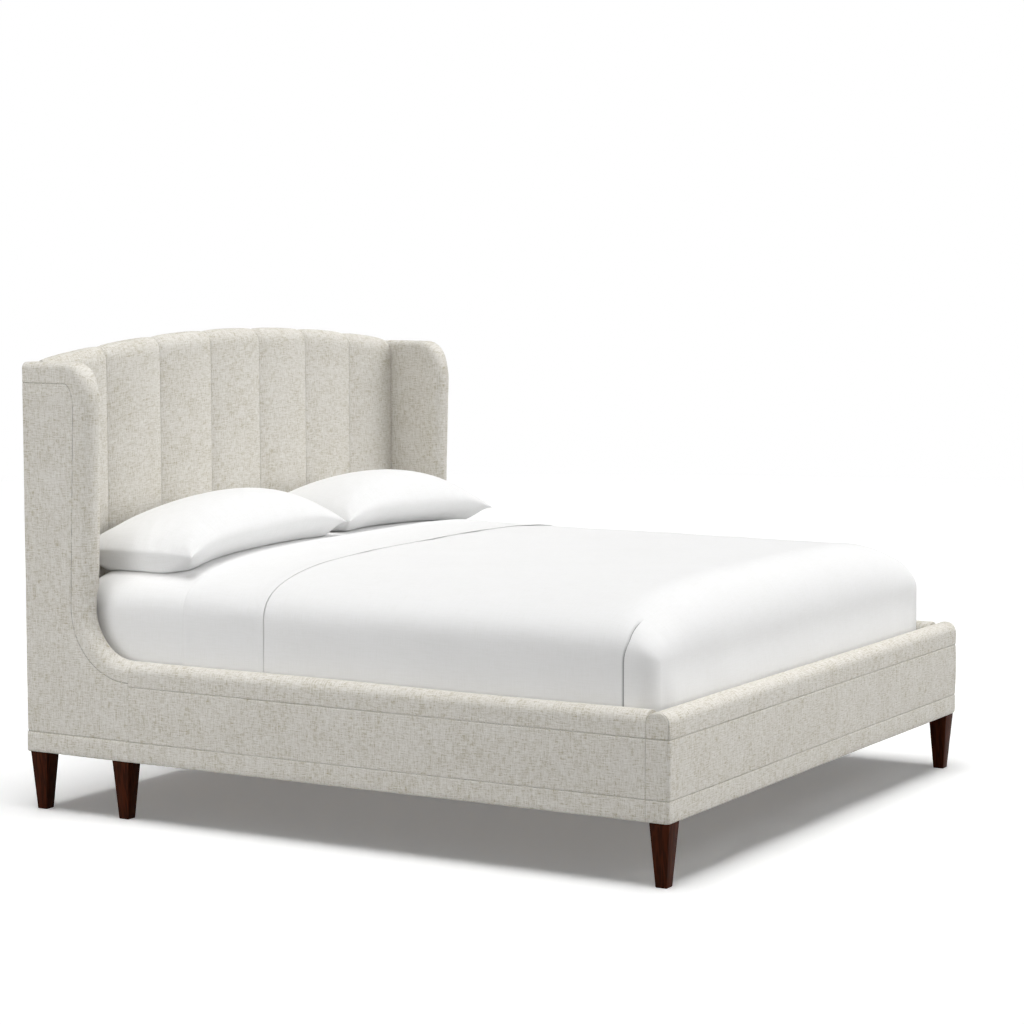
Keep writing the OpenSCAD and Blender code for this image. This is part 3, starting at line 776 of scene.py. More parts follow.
@dataclass
class PaddedSection:
    """Closed section of a padded rail, as depth from its outer face and height from its underside."""

    thick: float
    height: float
    roll: float = 0.032
    seams: tuple[float, ...] = (0.063, 0.230)
    bulge: float = 0.0022
    foot_round: float = 0.006
    stitching: Stitching = field(default_factory=Stitching)

    def relief(self, heights: np.ndarray) -> np.ndarray:
        """Returns how far the outer face stands proud at each height, with its seams."""
        stops = [0.0, *self.seams, self.height - self.roll]
        proud = np.zeros_like(heights)
        for low, high in zip(stops, stops[1:]):
            share = np.clip((heights - low) / (high - low), 0.0, 1.0)
            proud += self.bulge * min(1.0, (high - low) / 0.12) * (4 * share * (1 - share)) ** 0.6
        for seam in self.seams:
            proud += self.stitching.relief(heights - seam)
        return proud

    def mask(self, heights: np.ndarray) -> np.ndarray:
        """Returns the nearness of a seam at each height."""
        return sum(self.stitching.mask(heights - seam) for seam in self.seams)

    def outline(self) -> tuple[np.ndarray, np.ndarray]:
        """Draws the section.

        Returns:
            Points as depth and height, and the nearness of a seam at each.
        """
        top = self.height - self.roll
        rise = with_seams(self.foot_round, top, self.seams, 0.012)
        face = coords(-self.relief(rise), rise)
        turn = quarter(12)[1:]
        over = coords(self.roll * (1 - np.cos(turn)), top + self.roll * np.sin(turn))
        back = coords(self.thick - over[::-1, 0], over[::-1, 1])
        fall = np.linspace(top, self.foot_round, 9)[:-1]
        inner = coords(self.thick, fall)
        points = np.concatenate([face, over, back, inner, underside(self.thick, self.foot_round)])
        seam = np.zeros(len(points))
        seam[: len(rise)] = self.mask(rise)
        return points, seam


def extrude_padding(
    skin: Skin,
    outline: np.ndarray,
    seam: np.ndarray,
    stations: np.ndarray,
    place: Callable[[np.ndarray, np.ndarray, np.ndarray], np.ndarray],
    ripple: Ripple,
) -> None:
    """Runs a closed section along a straight line, with rounded ends, as a closed body.

    Args:
        skin: Skin that the body goes into.
        outline: Points of the section as depth and height.
        seam: Nearness of a seam at each point.
        stations: Places along the line.
        place: Turns depth, height and place along into points.
        ripple: Unevenness of the padding.
    """
    normals = closed_normals(outline)
    loop = running_length(np.concatenate([outline, outline[:1]]))
    to_end = np.minimum(stations - stations[0], stations[-1] - stations)
    back = edge_round(to_end, END_ROUND)
    depth = outline[None, :, 0] - normals[None, :, 0] * back[:, None]
    height = outline[None, :, 1] - normals[None, :, 1] * back[:, None]
    along = stations[:, None]
    points = place(depth, height, along)
    lift = ripple.at(points) * (1 - seam)[None, :] * smoothstep(0.0, 0.02, to_end)[:, None]
    depth = depth + normals[None, :, 0] * lift
    height = height + normals[None, :, 1] * lift
    points = place(depth, height, along)
    # Painted shade: the seam colour is laid along each rounded end, for the shade in the joint against the
    # next padded piece.
    joint = END_JOINT_SHADE * np.exp(-((to_end / (0.7 * END_ROUND)) ** 2))[:, None]
    skin.patch(points, along, loop[:-1], np.maximum(seam, joint))
    skin.patch(points[:, [-1, 0]], along, loop[-2:], seam[[-1, 0]])
    for end in (0, -1):
        skin.cap(points[end], outline)


def even_stations(start: float, stop: float, step: float) -> np.ndarray:
    """Returns places along a line, closer together at its rounded ends."""
    edge = near_edges(END_ROUND)
    middle = np.arange(start + 2 * END_ROUND, stop - 2 * END_ROUND, step)
    return np.unique(np.concatenate([start + edge, middle, stop - edge]))


@dataclass
class SideRail:
    """Padded rail along one side of the bed, sewn in three bands."""

    side: Side
    step: float = 0.011

    def build(self) -> bpy.types.Object:
        """Builds the padded cover, and returns it."""
        side = self.side.name.lower()
        low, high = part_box(f"side_rail_cover_{side}")
        outer = low.x if self.side is Side.LEFT else high.x
        inward = -self.side.value
        outline, seam = PaddedSection(high.x - low.x, high.z - low.z).outline()
        skin = Skin()
        extrude_padding(
            skin,
            outline,
            seam,
            even_stations(low.y, high.y, self.step),
            lambda depth, height, along: coords(outer + inward * depth, along, low.z + height),
            Ripple(31 + self.side.value, 0.55, 0.0009),
        )
        piece = skin.build(f"side_rail_{side}")
        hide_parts(f"side_rail_cover_{side}")
        return piece


@dataclass
class FootRail:
    """Padded rail across the foot, which turns the corners and is closed by end panels."""

    corner: float = 0.012
    cap_edge: float = 0.009
    top_edge: float = 0.008
    joint_edge: float = 0.0025
    panel_bulge: float = 0.0012
    seam_depth: float = 0.0012
    edge_points: int = 176
    end_points: int = 7
    corner_points: int = 7
    measured_row: int = 8

    def ring(
        self, box: tuple[float, float, float, float], front: float, back: float
    ) -> tuple[np.ndarray, np.ndarray]:
        """Draws a rounded oblong in plan, with as many points whatever its size.

        Args:
            box: Lowest x, highest x, lowest y and highest y.
            front: Radius of the two corners at the foot.
            back: Radius of the two corners by the side rails.

        Returns:
            Points as x and y, and 1 at the middle of each corner.
        """
        x0, x1, y0, y1 = box
        across = np.linspace(0, 1, self.edge_points)
        ends = np.linspace(0, 1, self.end_points)
        turn = quarter(self.corner_points + 2)[1:-1]
        mark = np.zeros(len(turn))
        mark[len(turn) // 2] = 1.0
        xs = x0 + front + (x1 - x0 - 2 * front) * across
        xb = x0 + back + (x1 - x0 - 2 * back) * across
        ys = y0 + front + (y1 - y0 - front - back) * ends
        sin, cos = np.sin(turn), np.cos(turn)
        parts = [
            coords(xs, y0),
            coords(x1 - front + front * sin, y0 + front - front * cos),
            coords(x1, ys),
            coords(x1 - back + back * cos, y1 - back + back * sin),
            coords(xb[::-1], y1),
            coords(x0 + back - back * sin, y1 - back + back * cos),
            coords(x0, ys[::-1]),
            coords(x0 + front - front * cos, y0 + front - front * sin),
        ]
        marks = [np.zeros(len(p)) for p in parts]
        for corner in (1, 3, 5, 7):
            marks[corner] = mark
        return np.concatenate(parts), np.concatenate(marks)

    def closing_line(self, ring: np.ndarray, y: float, z: float) -> np.ndarray:
        """Folds a ring flat onto a line along the rail, front and back points on the same places."""
        flat = ring.copy()
        flat[:, 1] = y
        flat[:, 2] = z
        half = self.edge_points + self.corner_points + self.end_points
        back = np.arange(half, half + self.edge_points + 2 * self.corner_points)
        flat[back, 0] = flat[(half + self.edge_points + self.corner_points - 1 - back) % len(flat), 0]
        return flat

    def build(self) -> bpy.types.Object:
        """Builds the padded cover, and returns it."""
        low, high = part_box("foot_rail_cover")
        section = PaddedSection(high.y - low.y, high.z - low.z)
        middle = (low.y + high.y) / 2
        top = section.height - section.roll
        seam_top = section.seams[-1]
        r = section.foot_round
        levels = [
            (r * (1 - math.cos(t)), r * (1 - math.sin(t)), r * (1 - math.sin(t)), 0.0)
            for t in np.radians([0, 30, 60])
        ]
        for z in with_seams(r, top, section.seams, 0.012):
            proud = float(section.relief(np.array([z]))[0])
            end = -proud if z < seam_top + 0.004 else -self.panel_bulge
            levels.append((z, -proud, end, float(section.mask(np.array([z]))[0])))
        for t in quarter(13)[1:]:
            z = top + section.roll * math.sin(t)
            end = float(edge_round(section.height - z, self.top_edge))
            levels.append((z, section.roll * (1 - math.cos(t)), end, 0.0))
        rings, masks = [], []
        for z, front, end, seam in levels:
            depth = section.thick - max(front, 0.0) - front
            over_seam = smoothstep(seam_top, seam_top + 0.02, z)
            radius = self.corner + (self.cap_edge - self.corner) * over_seam
            box = (low.x + end, high.x - end, low.y + front, high.y - max(front, 0.0))
            reach = 0.45 * depth
            plan, corner = self.ring(box, min(radius, reach), min(self.joint_edge, reach))
            capped = float(z > seam_top + 0.002)
            rings.append(np.column_stack([plan, np.full(len(plan), low.z + z)]))
            masks.append(np.maximum(seam, corner * capped))
        points, masks = np.array(rings), np.array(masks)
        inward = np.array([0.0, middle, 0.0]) - points
        inward[..., 0] = -0.5 * np.sign(points[..., 0]) * (np.abs(points[..., 0]) > high.x - 0.05)
        inward[..., 2] = 0.0
        inward /= np.maximum(np.linalg.norm(inward, axis=-1, keepdims=True), 1e-9)
        sewn = (masks > 0.5) & (points[..., 2] > low.z + seam_top + 0.006)
        points[sewn] += inward[sewn] * self.seam_depth
        lift = Ripple(41, 0.6, 0.0008).at(points) * (1 - masks)
        points[..., 1] -= inward[..., 1] * lift
        lines = [self.closing_line(points[end], middle, z)[None] for end, z in ((0, low.z), (-1, high.z))]
        points = np.concatenate([lines[0], points, lines[1]])
        masks = np.pad(masks, ((1, 1), (0, 0)))
        level = points[self.measured_row]
        around = running_length(np.concatenate([level, level[:1]]))
        up = running_length(points[:, self.edge_points // 2])
        skin = Skin()
        skin.patch(points, around[:-1], up[:, None], masks, wrap=around[-1])
        piece = skin.build("foot_rail")
        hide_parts("foot_rail_cover")
        return piece


# ---- wings


@dataclass
class Wing:
    """One wing of the headboard: a padded panel with a border band sewn round its free edge."""

    side: Side
    sweep_r: float = 0.150
    top_reach: float = 0.260
    low_reach: float = 0.243
    corner_y: float = 0.095
    corner_z: float = 0.135
    roll: float = 0.040
    band: float = 0.063
    flat_from: float = 0.084
    rail_height: float = 0.304
    base_height: float = 0.063
    edge: float = 0.0045
    back_corner: float = 0.004
    relief_depth: float = 0.011
    relief_top: float = 0.700
    bulge: float = 0.0022
    hollow: float = -0.6
    seam_shade: float = 1.7
    length: float = 0.393
    roll_points: int = 13
    sweep_points: int = 43
    past_border: float = 0.2
    sole_r: float = 0.006
    lid_r: float = 0.0028
    stitching: Stitching = field(default_factory=Stitching)

    def __post_init__(self) -> None:
        """Reads the wing's place from its node."""
        self.low, self.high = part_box(f"wing_cover_{self.side.name.lower()}")
        self.joint = self.low.y
        self.back = self.high.y
        self.top = self.high.z
        self.rail_top = self.low.z + self.rail_height
        self.base = self.low.z + self.base_height
        self.half = (self.high.x - self.low.x) / 2

    def free_edge(self, inset: np.ndarray) -> np.ndarray:
        """Draws the free edge drawn in by each inset.

        Args:
            inset: Distances from the edge.

        Returns:
            Points as y and z, one row for each place along the edge and a column for each inset.
        """
        inset = inset[None, :]
        centre_z = self.rail_top + self.sweep_r
        rear = self.joint + self.length
        ends = near_edges(self.edge) / self.sweep_r
        turned = np.linspace(ends[-1], math.pi / 2, self.sweep_points + 1)[1:]
        sweep = np.concatenate([ends, turned])[:, None]
        radius = self.sweep_r + inset
        lower = coords(self.joint + radius * np.sin(sweep), centre_z - radius * np.cos(sweep))
        share = np.linspace(0, 1, 112)[1:-1, None]
        y_low = rear - self.low_reach
        y_top = rear - self.top_reach
        z_corner = self.top - self.corner_z
        front = coords(y_low + inset + (y_top - y_low) * share, centre_z + (z_corner - centre_z) * share)
        turn = quarter(30)[:, None]
        start = y_top + self.corner_y
        corner = coords(
            start - (self.corner_y - inset) * np.cos(turn),
            z_corner + (self.corner_z - inset) * np.sin(turn),
        )
        over = np.linspace(start, self.back - 2 * self.edge, 22)[1:]
        over = np.concatenate([over, self.back - near_edges(self.edge)[::-1]])[:, None]
        upper = coords(over, self.top - inset)
        return np.concatenate([lower, front, corner, upper])

    def fixed_edge(self, count_sweep: int, count_rest: int, ring: np.ndarray) -> np.ndarray:
        """Draws the bottom and back edges that the panel runs to.

        Args:
            count_sweep: Points along the sweep.
            count_rest: Points along the rest of the free edge.
            ring: Points where the panel starts, as y and z.

        Returns:
            Points as y and z, one for each point of the ring.
        """
        start, end = ring[0], ring[-1]
        path = np.array(
            [start, [self.joint, self.base], [self.back, self.base], [self.back, self.base + 0.06]]
        )
        along = running_length(path)
        share = np.linspace(0, 1, count_sweep)
        marks = np.interp(share, [0, 0.30, 0.93, 1.0], along)
        lower = coords(*(np.interp(marks, along, axis) for axis in path.T))
        climb = np.linspace(0, 1, count_rest + 1)[1:]
        upper = coords(self.back, path[-1, 1] + (end[1] - path[-1, 1]) * climb)
        return np.concatenate([lower, upper])

    def side_x(self, points: np.ndarray, outer: bool) -> np.ndarray:
        """Returns depth from the middle plane of the wing's outer or inner face at each point."""
        if outer:
            return np.full(points.shape[:-1], self.half)
        drop = 1.0 - smoothstep(self.relief_top - 0.030, self.relief_top + 0.005, points[..., 1])
        return self.half - self.relief_depth * drop

    def half_skin(self, outer: bool) -> tuple[np.ndarray, np.ndarray]:
        """Builds one face from its fixed edge to the middle of its rolled edge.

        Args:
            outer: True for the face that looks away from the bed.

        Returns:
            Points as depth from the middle plane, y and z, by place along the edge and by place
            across the face, and the nearness of a seam at each.
        """
        turn = np.radians(np.linspace(90, 0, self.roll_points))
        rolled = self.roll * (1 - np.sin(turn))
        sewn = self.band + self.stitching.places()
        flat = np.concatenate([[0.045, 0.0485], sewn, [0.079, self.flat_from]])
        inset = np.concatenate([rolled, flat])
        edge = self.free_edge(inset)
        ring = edge[:, -1]
        count_sweep = len(near_edges(self.edge)) + self.sweep_points
        fixed = self.fixed_edge(count_sweep, len(ring) - count_sweep, ring)
        span = np.linalg.norm(fixed - ring, axis=1)
        steps = np.linspace(0, 1, 15)[1:]
        last = near_edges(self.edge)[::-1]
        rows = []
        for a, b, length in zip(ring, fixed, span):
            reach = max(0.0, length - 1.6 * self.edge) if length > 3 * self.edge else 0.35 * length
            near = last * min(1.0, length / (3 * self.edge))
            distance = np.concatenate([steps * reach, length - near])
            distance = np.maximum.accumulate(distance)
            share = distance / max(length, 1e-9)
            rows.append(a[None, :] + (b - a)[None, :] * share[:, None])
        ribs = np.array(rows)
        slim = 1 - 0.55 * smoothstep(self.top - 0.10, self.top - 0.004, edge[:, 0, 1])[:, None]
        rolled_in = edge[:, :1] + (edge[:, : len(turn)] - edge[:, :1]) * slim[..., None]
        plane = np.concatenate([rolled_in, edge[:, len(turn) :], ribs], axis=1)
        from_edge = np.concatenate([inset, np.full(ribs.shape[1], self.past_border)])[None, :]
        border = from_edge < self.past_border
        depth = self.side_x(plane, outer)
        depth[:, : len(turn)] -= self.roll * (1 - np.cos(turn))[None, :] * slim
        free = np.minimum(
            np.minimum(plane[..., 0] - self.joint, self.back - plane[..., 0]), plane[..., 1] - self.base
        )
        seam = np.zeros(plane.shape[:2])
        if outer:
            depth = depth + np.where(border, self.stitching.relief(from_edge - self.band), 0.0)
            seam += self.seam_shade * np.where(border, self.stitching.mask(from_edge - self.band), 0.0)
        swell = self.bulge * smoothstep(0.0, 0.07, free) * (1.0 if outer else self.hollow)
        depth = depth + swell * smoothstep(self.band, self.band + 0.04, from_edge)
        outward = edge[:, :1] - edge[:, -1:]
        outward_yz = np.zeros_like(plane)
        outward_yz[:, : len(turn)] = outward / np.linalg.norm(outward, axis=-1, keepdims=True)
        tilt = np.zeros(plane.shape[:2])
        tilt[:, : len(turn)] = np.sin(turn)[None, :]
        draw = edge_round(np.maximum(free, 0.0), self.edge)
        depth = depth - draw * np.sqrt(np.maximum(0.0, 1 - tilt**2))
        plane = plane - outward_yz * (draw * tilt)[..., None]
        corner = np.clip((plane[..., 0] - (self.back - self.back_corner)) / self.back_corner, 0, 1)
        sag = self.back_corner * (1 - np.sqrt(np.maximum(0.0, 1 - corner**2)))
        plane[..., 1] -= sag * smoothstep(self.top - 0.07, self.top - 0.005, plane[..., 1])
        return np.concatenate([depth[..., None], plane], axis=-1), seam

    def body(self, skin: Skin) -> None:
        """Adds the padded panel above the base band to a skin."""
        outer, seam_out = self.half_skin(True)
        inner, seam_in = self.half_skin(False)
        inner[..., 0] *= -1
        strip = np.linspace(0, 1, 7)[1:-1]
        joins = outer[:, -1:, :] * (1 - strip)[None, :, None] + inner[:, -1:, :] * strip[None, :, None]
        loop = np.concatenate([outer, joins, inner[:, :0:-1]], axis=1)
        seam = np.concatenate([seam_out, np.zeros(joins.shape[:2]), seam_in[:, :0:-1]], axis=1)
        lift = Ripple(51 + self.side.value, 0.5, 0.0007).at(loop)
        lift *= np.maximum(0.0, 1 - seam) * smoothstep(0.0, 0.03, loop[..., 1] - self.joint)
        away = np.clip(loop[..., 0] / self.half, -1, 1)
        loop[..., 0] += away * lift
        middle = (self.low.x + self.high.x) / 2
        points = loop.copy()
        points[..., 0] = middle + self.side.value * loop[..., 0]
        u, v = loop[..., 1].copy(), loop[..., 2].copy()
        around = np.array([running_length(line) for line in loop])
        last = self.roll_points - 1
        direction = loop[:, 0, 1:] - loop[:, last, 1:]
        direction /= np.maximum(np.linalg.norm(direction, axis=1, keepdims=True), 1e-9)
        rolled = around[:, : last + 1] - around[:, last : last + 1]
        flat = loop[:, last : last + 1, 1:] - direction[:, None, :] * rolled[..., None]
        u[:, : last + 1], v[:, : last + 1] = flat[..., 0], flat[..., 1]
        for columns in (slice(None), [-1, 0]):
            skin.patch(points[:, columns], u[:, columns], v[:, columns], seam[:, columns])
        for end in (0, -1):
            skin.cap(points[end], loop[end][:, [0, 2]])

    def base_band(self, skin: Skin) -> None:
        """Adds the band sewn along the bottom of the wing to a skin."""
        height = self.base - self.low.z - 0.0002
        thick = self.high.x - self.low.x - self.relief_depth
        lid_r = self.lid_r
        rise = np.linspace(self.sole_r, height - lid_r, 9)
        proud = 0.0012 * (4 * (rise / height) * (1 - rise / height)) ** 0.6
        turn = quarter(5)
        over = coords(lid_r * (1 - np.cos(turn)), height - lid_r + lid_r * np.sin(turn))[1:]
        outline = np.concatenate(
            [
                coords(-proud, rise),
                over,
                coords(np.linspace(lid_r, thick - lid_r, 5)[1:-1], height),
                coords(thick - over[::-1, 0], over[::-1, 1]),
                coords(thick, np.linspace(height - lid_r, self.sole_r, 4)[:-1]),
                underside(thick, self.sole_r),
            ]
        )
        outer = self.low.x if self.side is Side.LEFT else self.high.x
        extrude_padding(
            skin,
            outline,
            np.zeros(len(outline)),
            even_stations(self.joint, self.back, 0.012),
            lambda depth, rise, along: coords(outer - self.side.value * depth, along, self.low.z + rise),
            Ripple(61, 0.5, 0.0004),
        )

    def build(self) -> bpy.types.Object:
        """Builds the padded cover, and returns it."""
        skin = Skin()
        self.body(skin)
        self.base_band(skin)
        side = self.side.name.lower()
        piece = skin.build(f"wing_{side}")
        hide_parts(f"wing_cover_{side}")
        return piece


# ---- headboard


def arch(crest: float, x: float) -> float:
    """Returns the height at a place across of an arch like the headboard's with a given crest."""
    return crest - ARCH_R + math.sqrt(ARCH_R**2 - x * x)


@dataclass
class ChannelPad:
    """One upright padded channel of the headboard."""

    number: int
    roll_depth: float = 0.037
    roll_height: float = 0.050
    cap: float = 0.012
    seam_t: float = 0.017
    dip: float = 0.0045
    back_edge: float = 0.006
    sole: float = 0.008
    board: float = 0.026
    columns: int = 45
    face_rows: int = 62
    measured_row: int = 30

    def build(self) -> bpy.types.Object:
        """Builds the pad as a closed loft from its left seam to its right one, and returns it."""
        node = f"channel_pad_{self.number}"
        low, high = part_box(node)
        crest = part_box("channel_pad_4")[1].z
        panel = high.y - self.board
        crown = panel - low.y - self.seam_t
        centre, half = (low.x + high.x) / 2, (high.x - low.x) / 2 - 0.0002
        share = np.sin(np.radians(np.linspace(-90, 90, self.columns)))
        foot = np.linspace(0, math.pi / 2, 5)[:-1]
        sole_y, sole_z = self.sole * (1 - np.sin(foot)), self.sole * (1 - np.cos(foot))
        roll = quarter(15)[1:]
        roll_y, roll_z = self.roll_depth * (1 - np.cos(roll)), self.roll_height * np.sin(roll)
        end = np.radians(np.linspace(90, 0, 5))
        edge_y, edge_z = self.back_edge * (1 - np.cos(end)), self.back_edge * (1 - np.sin(end))
        rows, seams = [], []
        for s in share:
            x = centre + half * s
            height = arch(crest, x)
            top = height - self.dip * abs(s) ** 4
            start = top - self.roll_height
            front = panel - (self.seam_t + crown * max(0.0, 1 - s * s) ** 0.8)
            lip = height - self.cap
            front_part = [
                coords(front + sole_y, low.z + sole_z),
                coords(front, np.linspace(low.z + self.sole, start, self.face_rows)),
                coords(front + roll_y, start + roll_z),
                coords(high.y - edge_y, top - edge_z),
            ]
            back_part = [
                np.array([[high.y, lip], [panel, lip]]),
                coords(panel, np.linspace(lip, low.z, 12)[1:]),
                coords(np.linspace(panel, front + self.sole, 4)[1:-1], low.z),
            ]
            outline = np.concatenate(front_part + back_part)
            rows.append(coords(x, outline[:, 0], outline[:, 1]))
            near = np.zeros(len(outline))
            near[: sum(map(len, front_part))] = 0.5 * math.exp(-(((1 - abs(s)) * half / 0.0010) ** 2))
            seams.append(near)
        points, seam = np.array(rows), np.array(seams)
        free = (1 - np.abs(share)) * half
        lift = Ripple(70 + self.number, 0.42, 0.0009).at(points)
        pucker = Ripple(170 + self.number, 0.05, 0.0008).at(points * np.array([0.35, 1.0, 1.0]))
        calm = smoothstep(0.0, 0.03, free)[:, None]
        tight = smoothstep(0.0, 0.004, free)[:, None] * (1 - smoothstep(0.012, 0.045, free))[:, None]
        padded = slice(0, len(foot) + self.face_rows + 10)
        points[:, padded, 1] -= (lift * calm + pucker * tight)[:, padded] * (
            smoothstep(0.0, 0.03, points[:, padded, 2] - low.z)
        )
        middle = points[self.columns // 2]
        around = running_length(middle)
        across = running_length(points[:, self.measured_row])
        skin = Skin()
        closing = float(around[-1] + np.linalg.norm(middle[0] - middle[-1]))
        skin.patch(points, around, across[:, None] + 1.7 * self.number, seam, wrap=closing)
        for end in (0, -1):
            skin.cap(points[end], points[end][:, 1:])
        piece = skin.build(f"channel_{self.number}")
        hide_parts(node)
        return piece


@dataclass
class HeadboardBack:
    """Dust cover stretched over the back of the headboard, with two upright seams."""

    seam_x: float = 0.350
    edge: float = 0.0012
    drop: float = 0.0030
    dip: float = 0.0088

    def build(self) -> bpy.types.Object:
        """Builds the cover as a thin closed panel under the arch, and returns it."""
        low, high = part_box("headboard_back_cover")
        stitching = Stitching(depth=0.0012)
        sewn_x = (-self.seam_x, self.seam_x)
        rim = near_edges(self.edge)
        xs = with_seams(low.x, high.x, sewn_x, 0.028)
        xs = np.unique(np.concatenate([xs, low.x + rim, high.x - rim]))
        share = np.linspace(0, 1, 40)
        rows, seams = [], []
        for x in xs:
            shoulder = smoothstep(0.925, 0.972, abs(x))
            top = arch(high.z - self.drop - self.dip * shoulder, x)
            height = top - low.z
            z = np.unique(np.concatenate([low.z + rim, low.z + share[1:-1] * height, top - rim]))
            z = np.interp(np.linspace(0, 1, 50), np.linspace(0, 1, len(z)), z)
            gaps = [np.array([x - seam]) for seam in sewn_x]
            sewn = sum(stitching.relief(gap)[0] for gap in gaps)
            free = np.minimum(np.minimum(z - low.z, top - z), min(x - low.x, high.x - x))
            y = high.y - 0.0004 + sewn + 0.0016 * smoothstep(0.0, 0.12, free) - edge_round(free, self.edge)
            rows.append(coords(x, y, z))
            seams.append([sum(stitching.mask(gap)[0] for gap in gaps)])
        outer = np.array(rows)
        outer[..., 1] += Ripple(91, 0.35, 0.0004).at(outer)
        inner = outer.copy()
        inner[..., 1] = low.y + 0.0004
        skin = Skin()
        skin.patch(outer, outer[..., 0], outer[..., 2], np.array(seams))
        skin.patch(inner, inner[..., 0], inner[..., 2])
        for side in ((0,), (-1,), (slice(None), 0), (slice(None), -1)):
            strip = np.stack([outer[side], inner[side]], axis=1)
            skin.patch(strip, strip[..., 0] + strip[..., 1], strip[..., 2])
        piece = skin.build("headboard_back")
        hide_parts("headboard_back_cover")
        return piece


# ---- bedding


@dataclass
class Crown:
    """Rounded top of the made bed, which each layer of bedding follows at its own distance.

    A place on it is an angle across, from the left side over to the right, and an angle along,
    from the end at 0 up to the level top at a right angle.
    """

    half_width: float = 0.965
    height: float = 0.178
    start: float = 0.600
    power: float = 3.45
    end_round: float = 0.150
    corner_r: float = 0.052
    foot: float = -1.004
    head: float = 1.028
    tuck: float = 0.435
    crease_z: float = 0.662

    def across(self, out: float, pitch: float) -> np.ndarray:
        """Returns angles across the crown a pitch apart, for a layer that lies out from it."""
        angle = np.linspace(0, math.pi, 4001)
        line = self.section(angle, np.full_like(angle, math.pi / 2), out)[:, [0, 2]]
        length = running_length(line)
        count = 2 * round(length[-1] / pitch / 2) + 1
        return np.interp(np.linspace(0, length[-1], count), length, angle)

    def section(self, across: np.ndarray, along: np.ndarray, out: float, head: bool = False) -> np.ndarray:
        """Returns points of the top.

        Args:
            across: Angles across.
            along: Angles along.
            out: Distance of the layer from the mattress.
            head: True for the head end.

        Returns:
            Points as x, y and z.
        """
        reach = self.end_round + out
        inward = reach * (1 - np.cos(along))
        radius = self.corner_r + out
        short = np.clip(radius - inward, 0.0, radius)
        half = self.half_width + out - radius + np.sqrt(np.maximum(radius**2 - short**2, 0.0))
        sin = np.clip(np.sin(across), 0.0, 1.0)
        x = -half * np.sign(np.cos(across)) * np.abs(np.cos(across)) ** (2 / self.power)
        z = self.start + (self.height + out) * sin ** (2 / self.power) * np.sin(along)
        y = self.head + out - inward if head else self.foot - out + inward
        return coords(x, y, z)

    def top(self, x: np.ndarray, y: np.ndarray, out: float) -> np.ndarray:
        """Returns the height of a layer over each place."""
        share = np.clip(np.abs(x) / (self.half_width + out), 0.0, 1.0)
        reach = self.end_round + out
        gap = np.minimum(self.head + out - y, y - self.foot + out)
        short = np.clip(1 - gap / reach, 0.0, 1.0)
        rise = (1 - share**self.power) ** (1 / self.power) * np.sqrt(1 - short**2)
        return self.start + (self.height + out) * rise


@dataclass
class Fold:
    """The coverlet's pleat at a foot corner, from the tuck up the side and over the edge."""

    low: float = math.radians(63.0)
    high: float = math.radians(56.3)
    turn: float = math.radians(12.0)
    reach: float = math.radians(30.0)
    lip: float = 0.0045

    def angle(self, across: np.ndarray) -> np.ndarray:
        """Returns the pleat's angle along at each angle across."""
        away = np.minimum(across, math.pi - across)
        return self.low + (self.high - self.low) * smoothstep(-0.5 * self.turn, self.turn, away)

    def strength(self, across: np.ndarray) -> np.ndarray:
        """Returns 1 where the pleat stands proud and 0 past its tip."""
        away = np.minimum(across, math.pi - across)
        return 1 - smoothstep(0.80 * self.reach, 1.08 * self.reach, away)


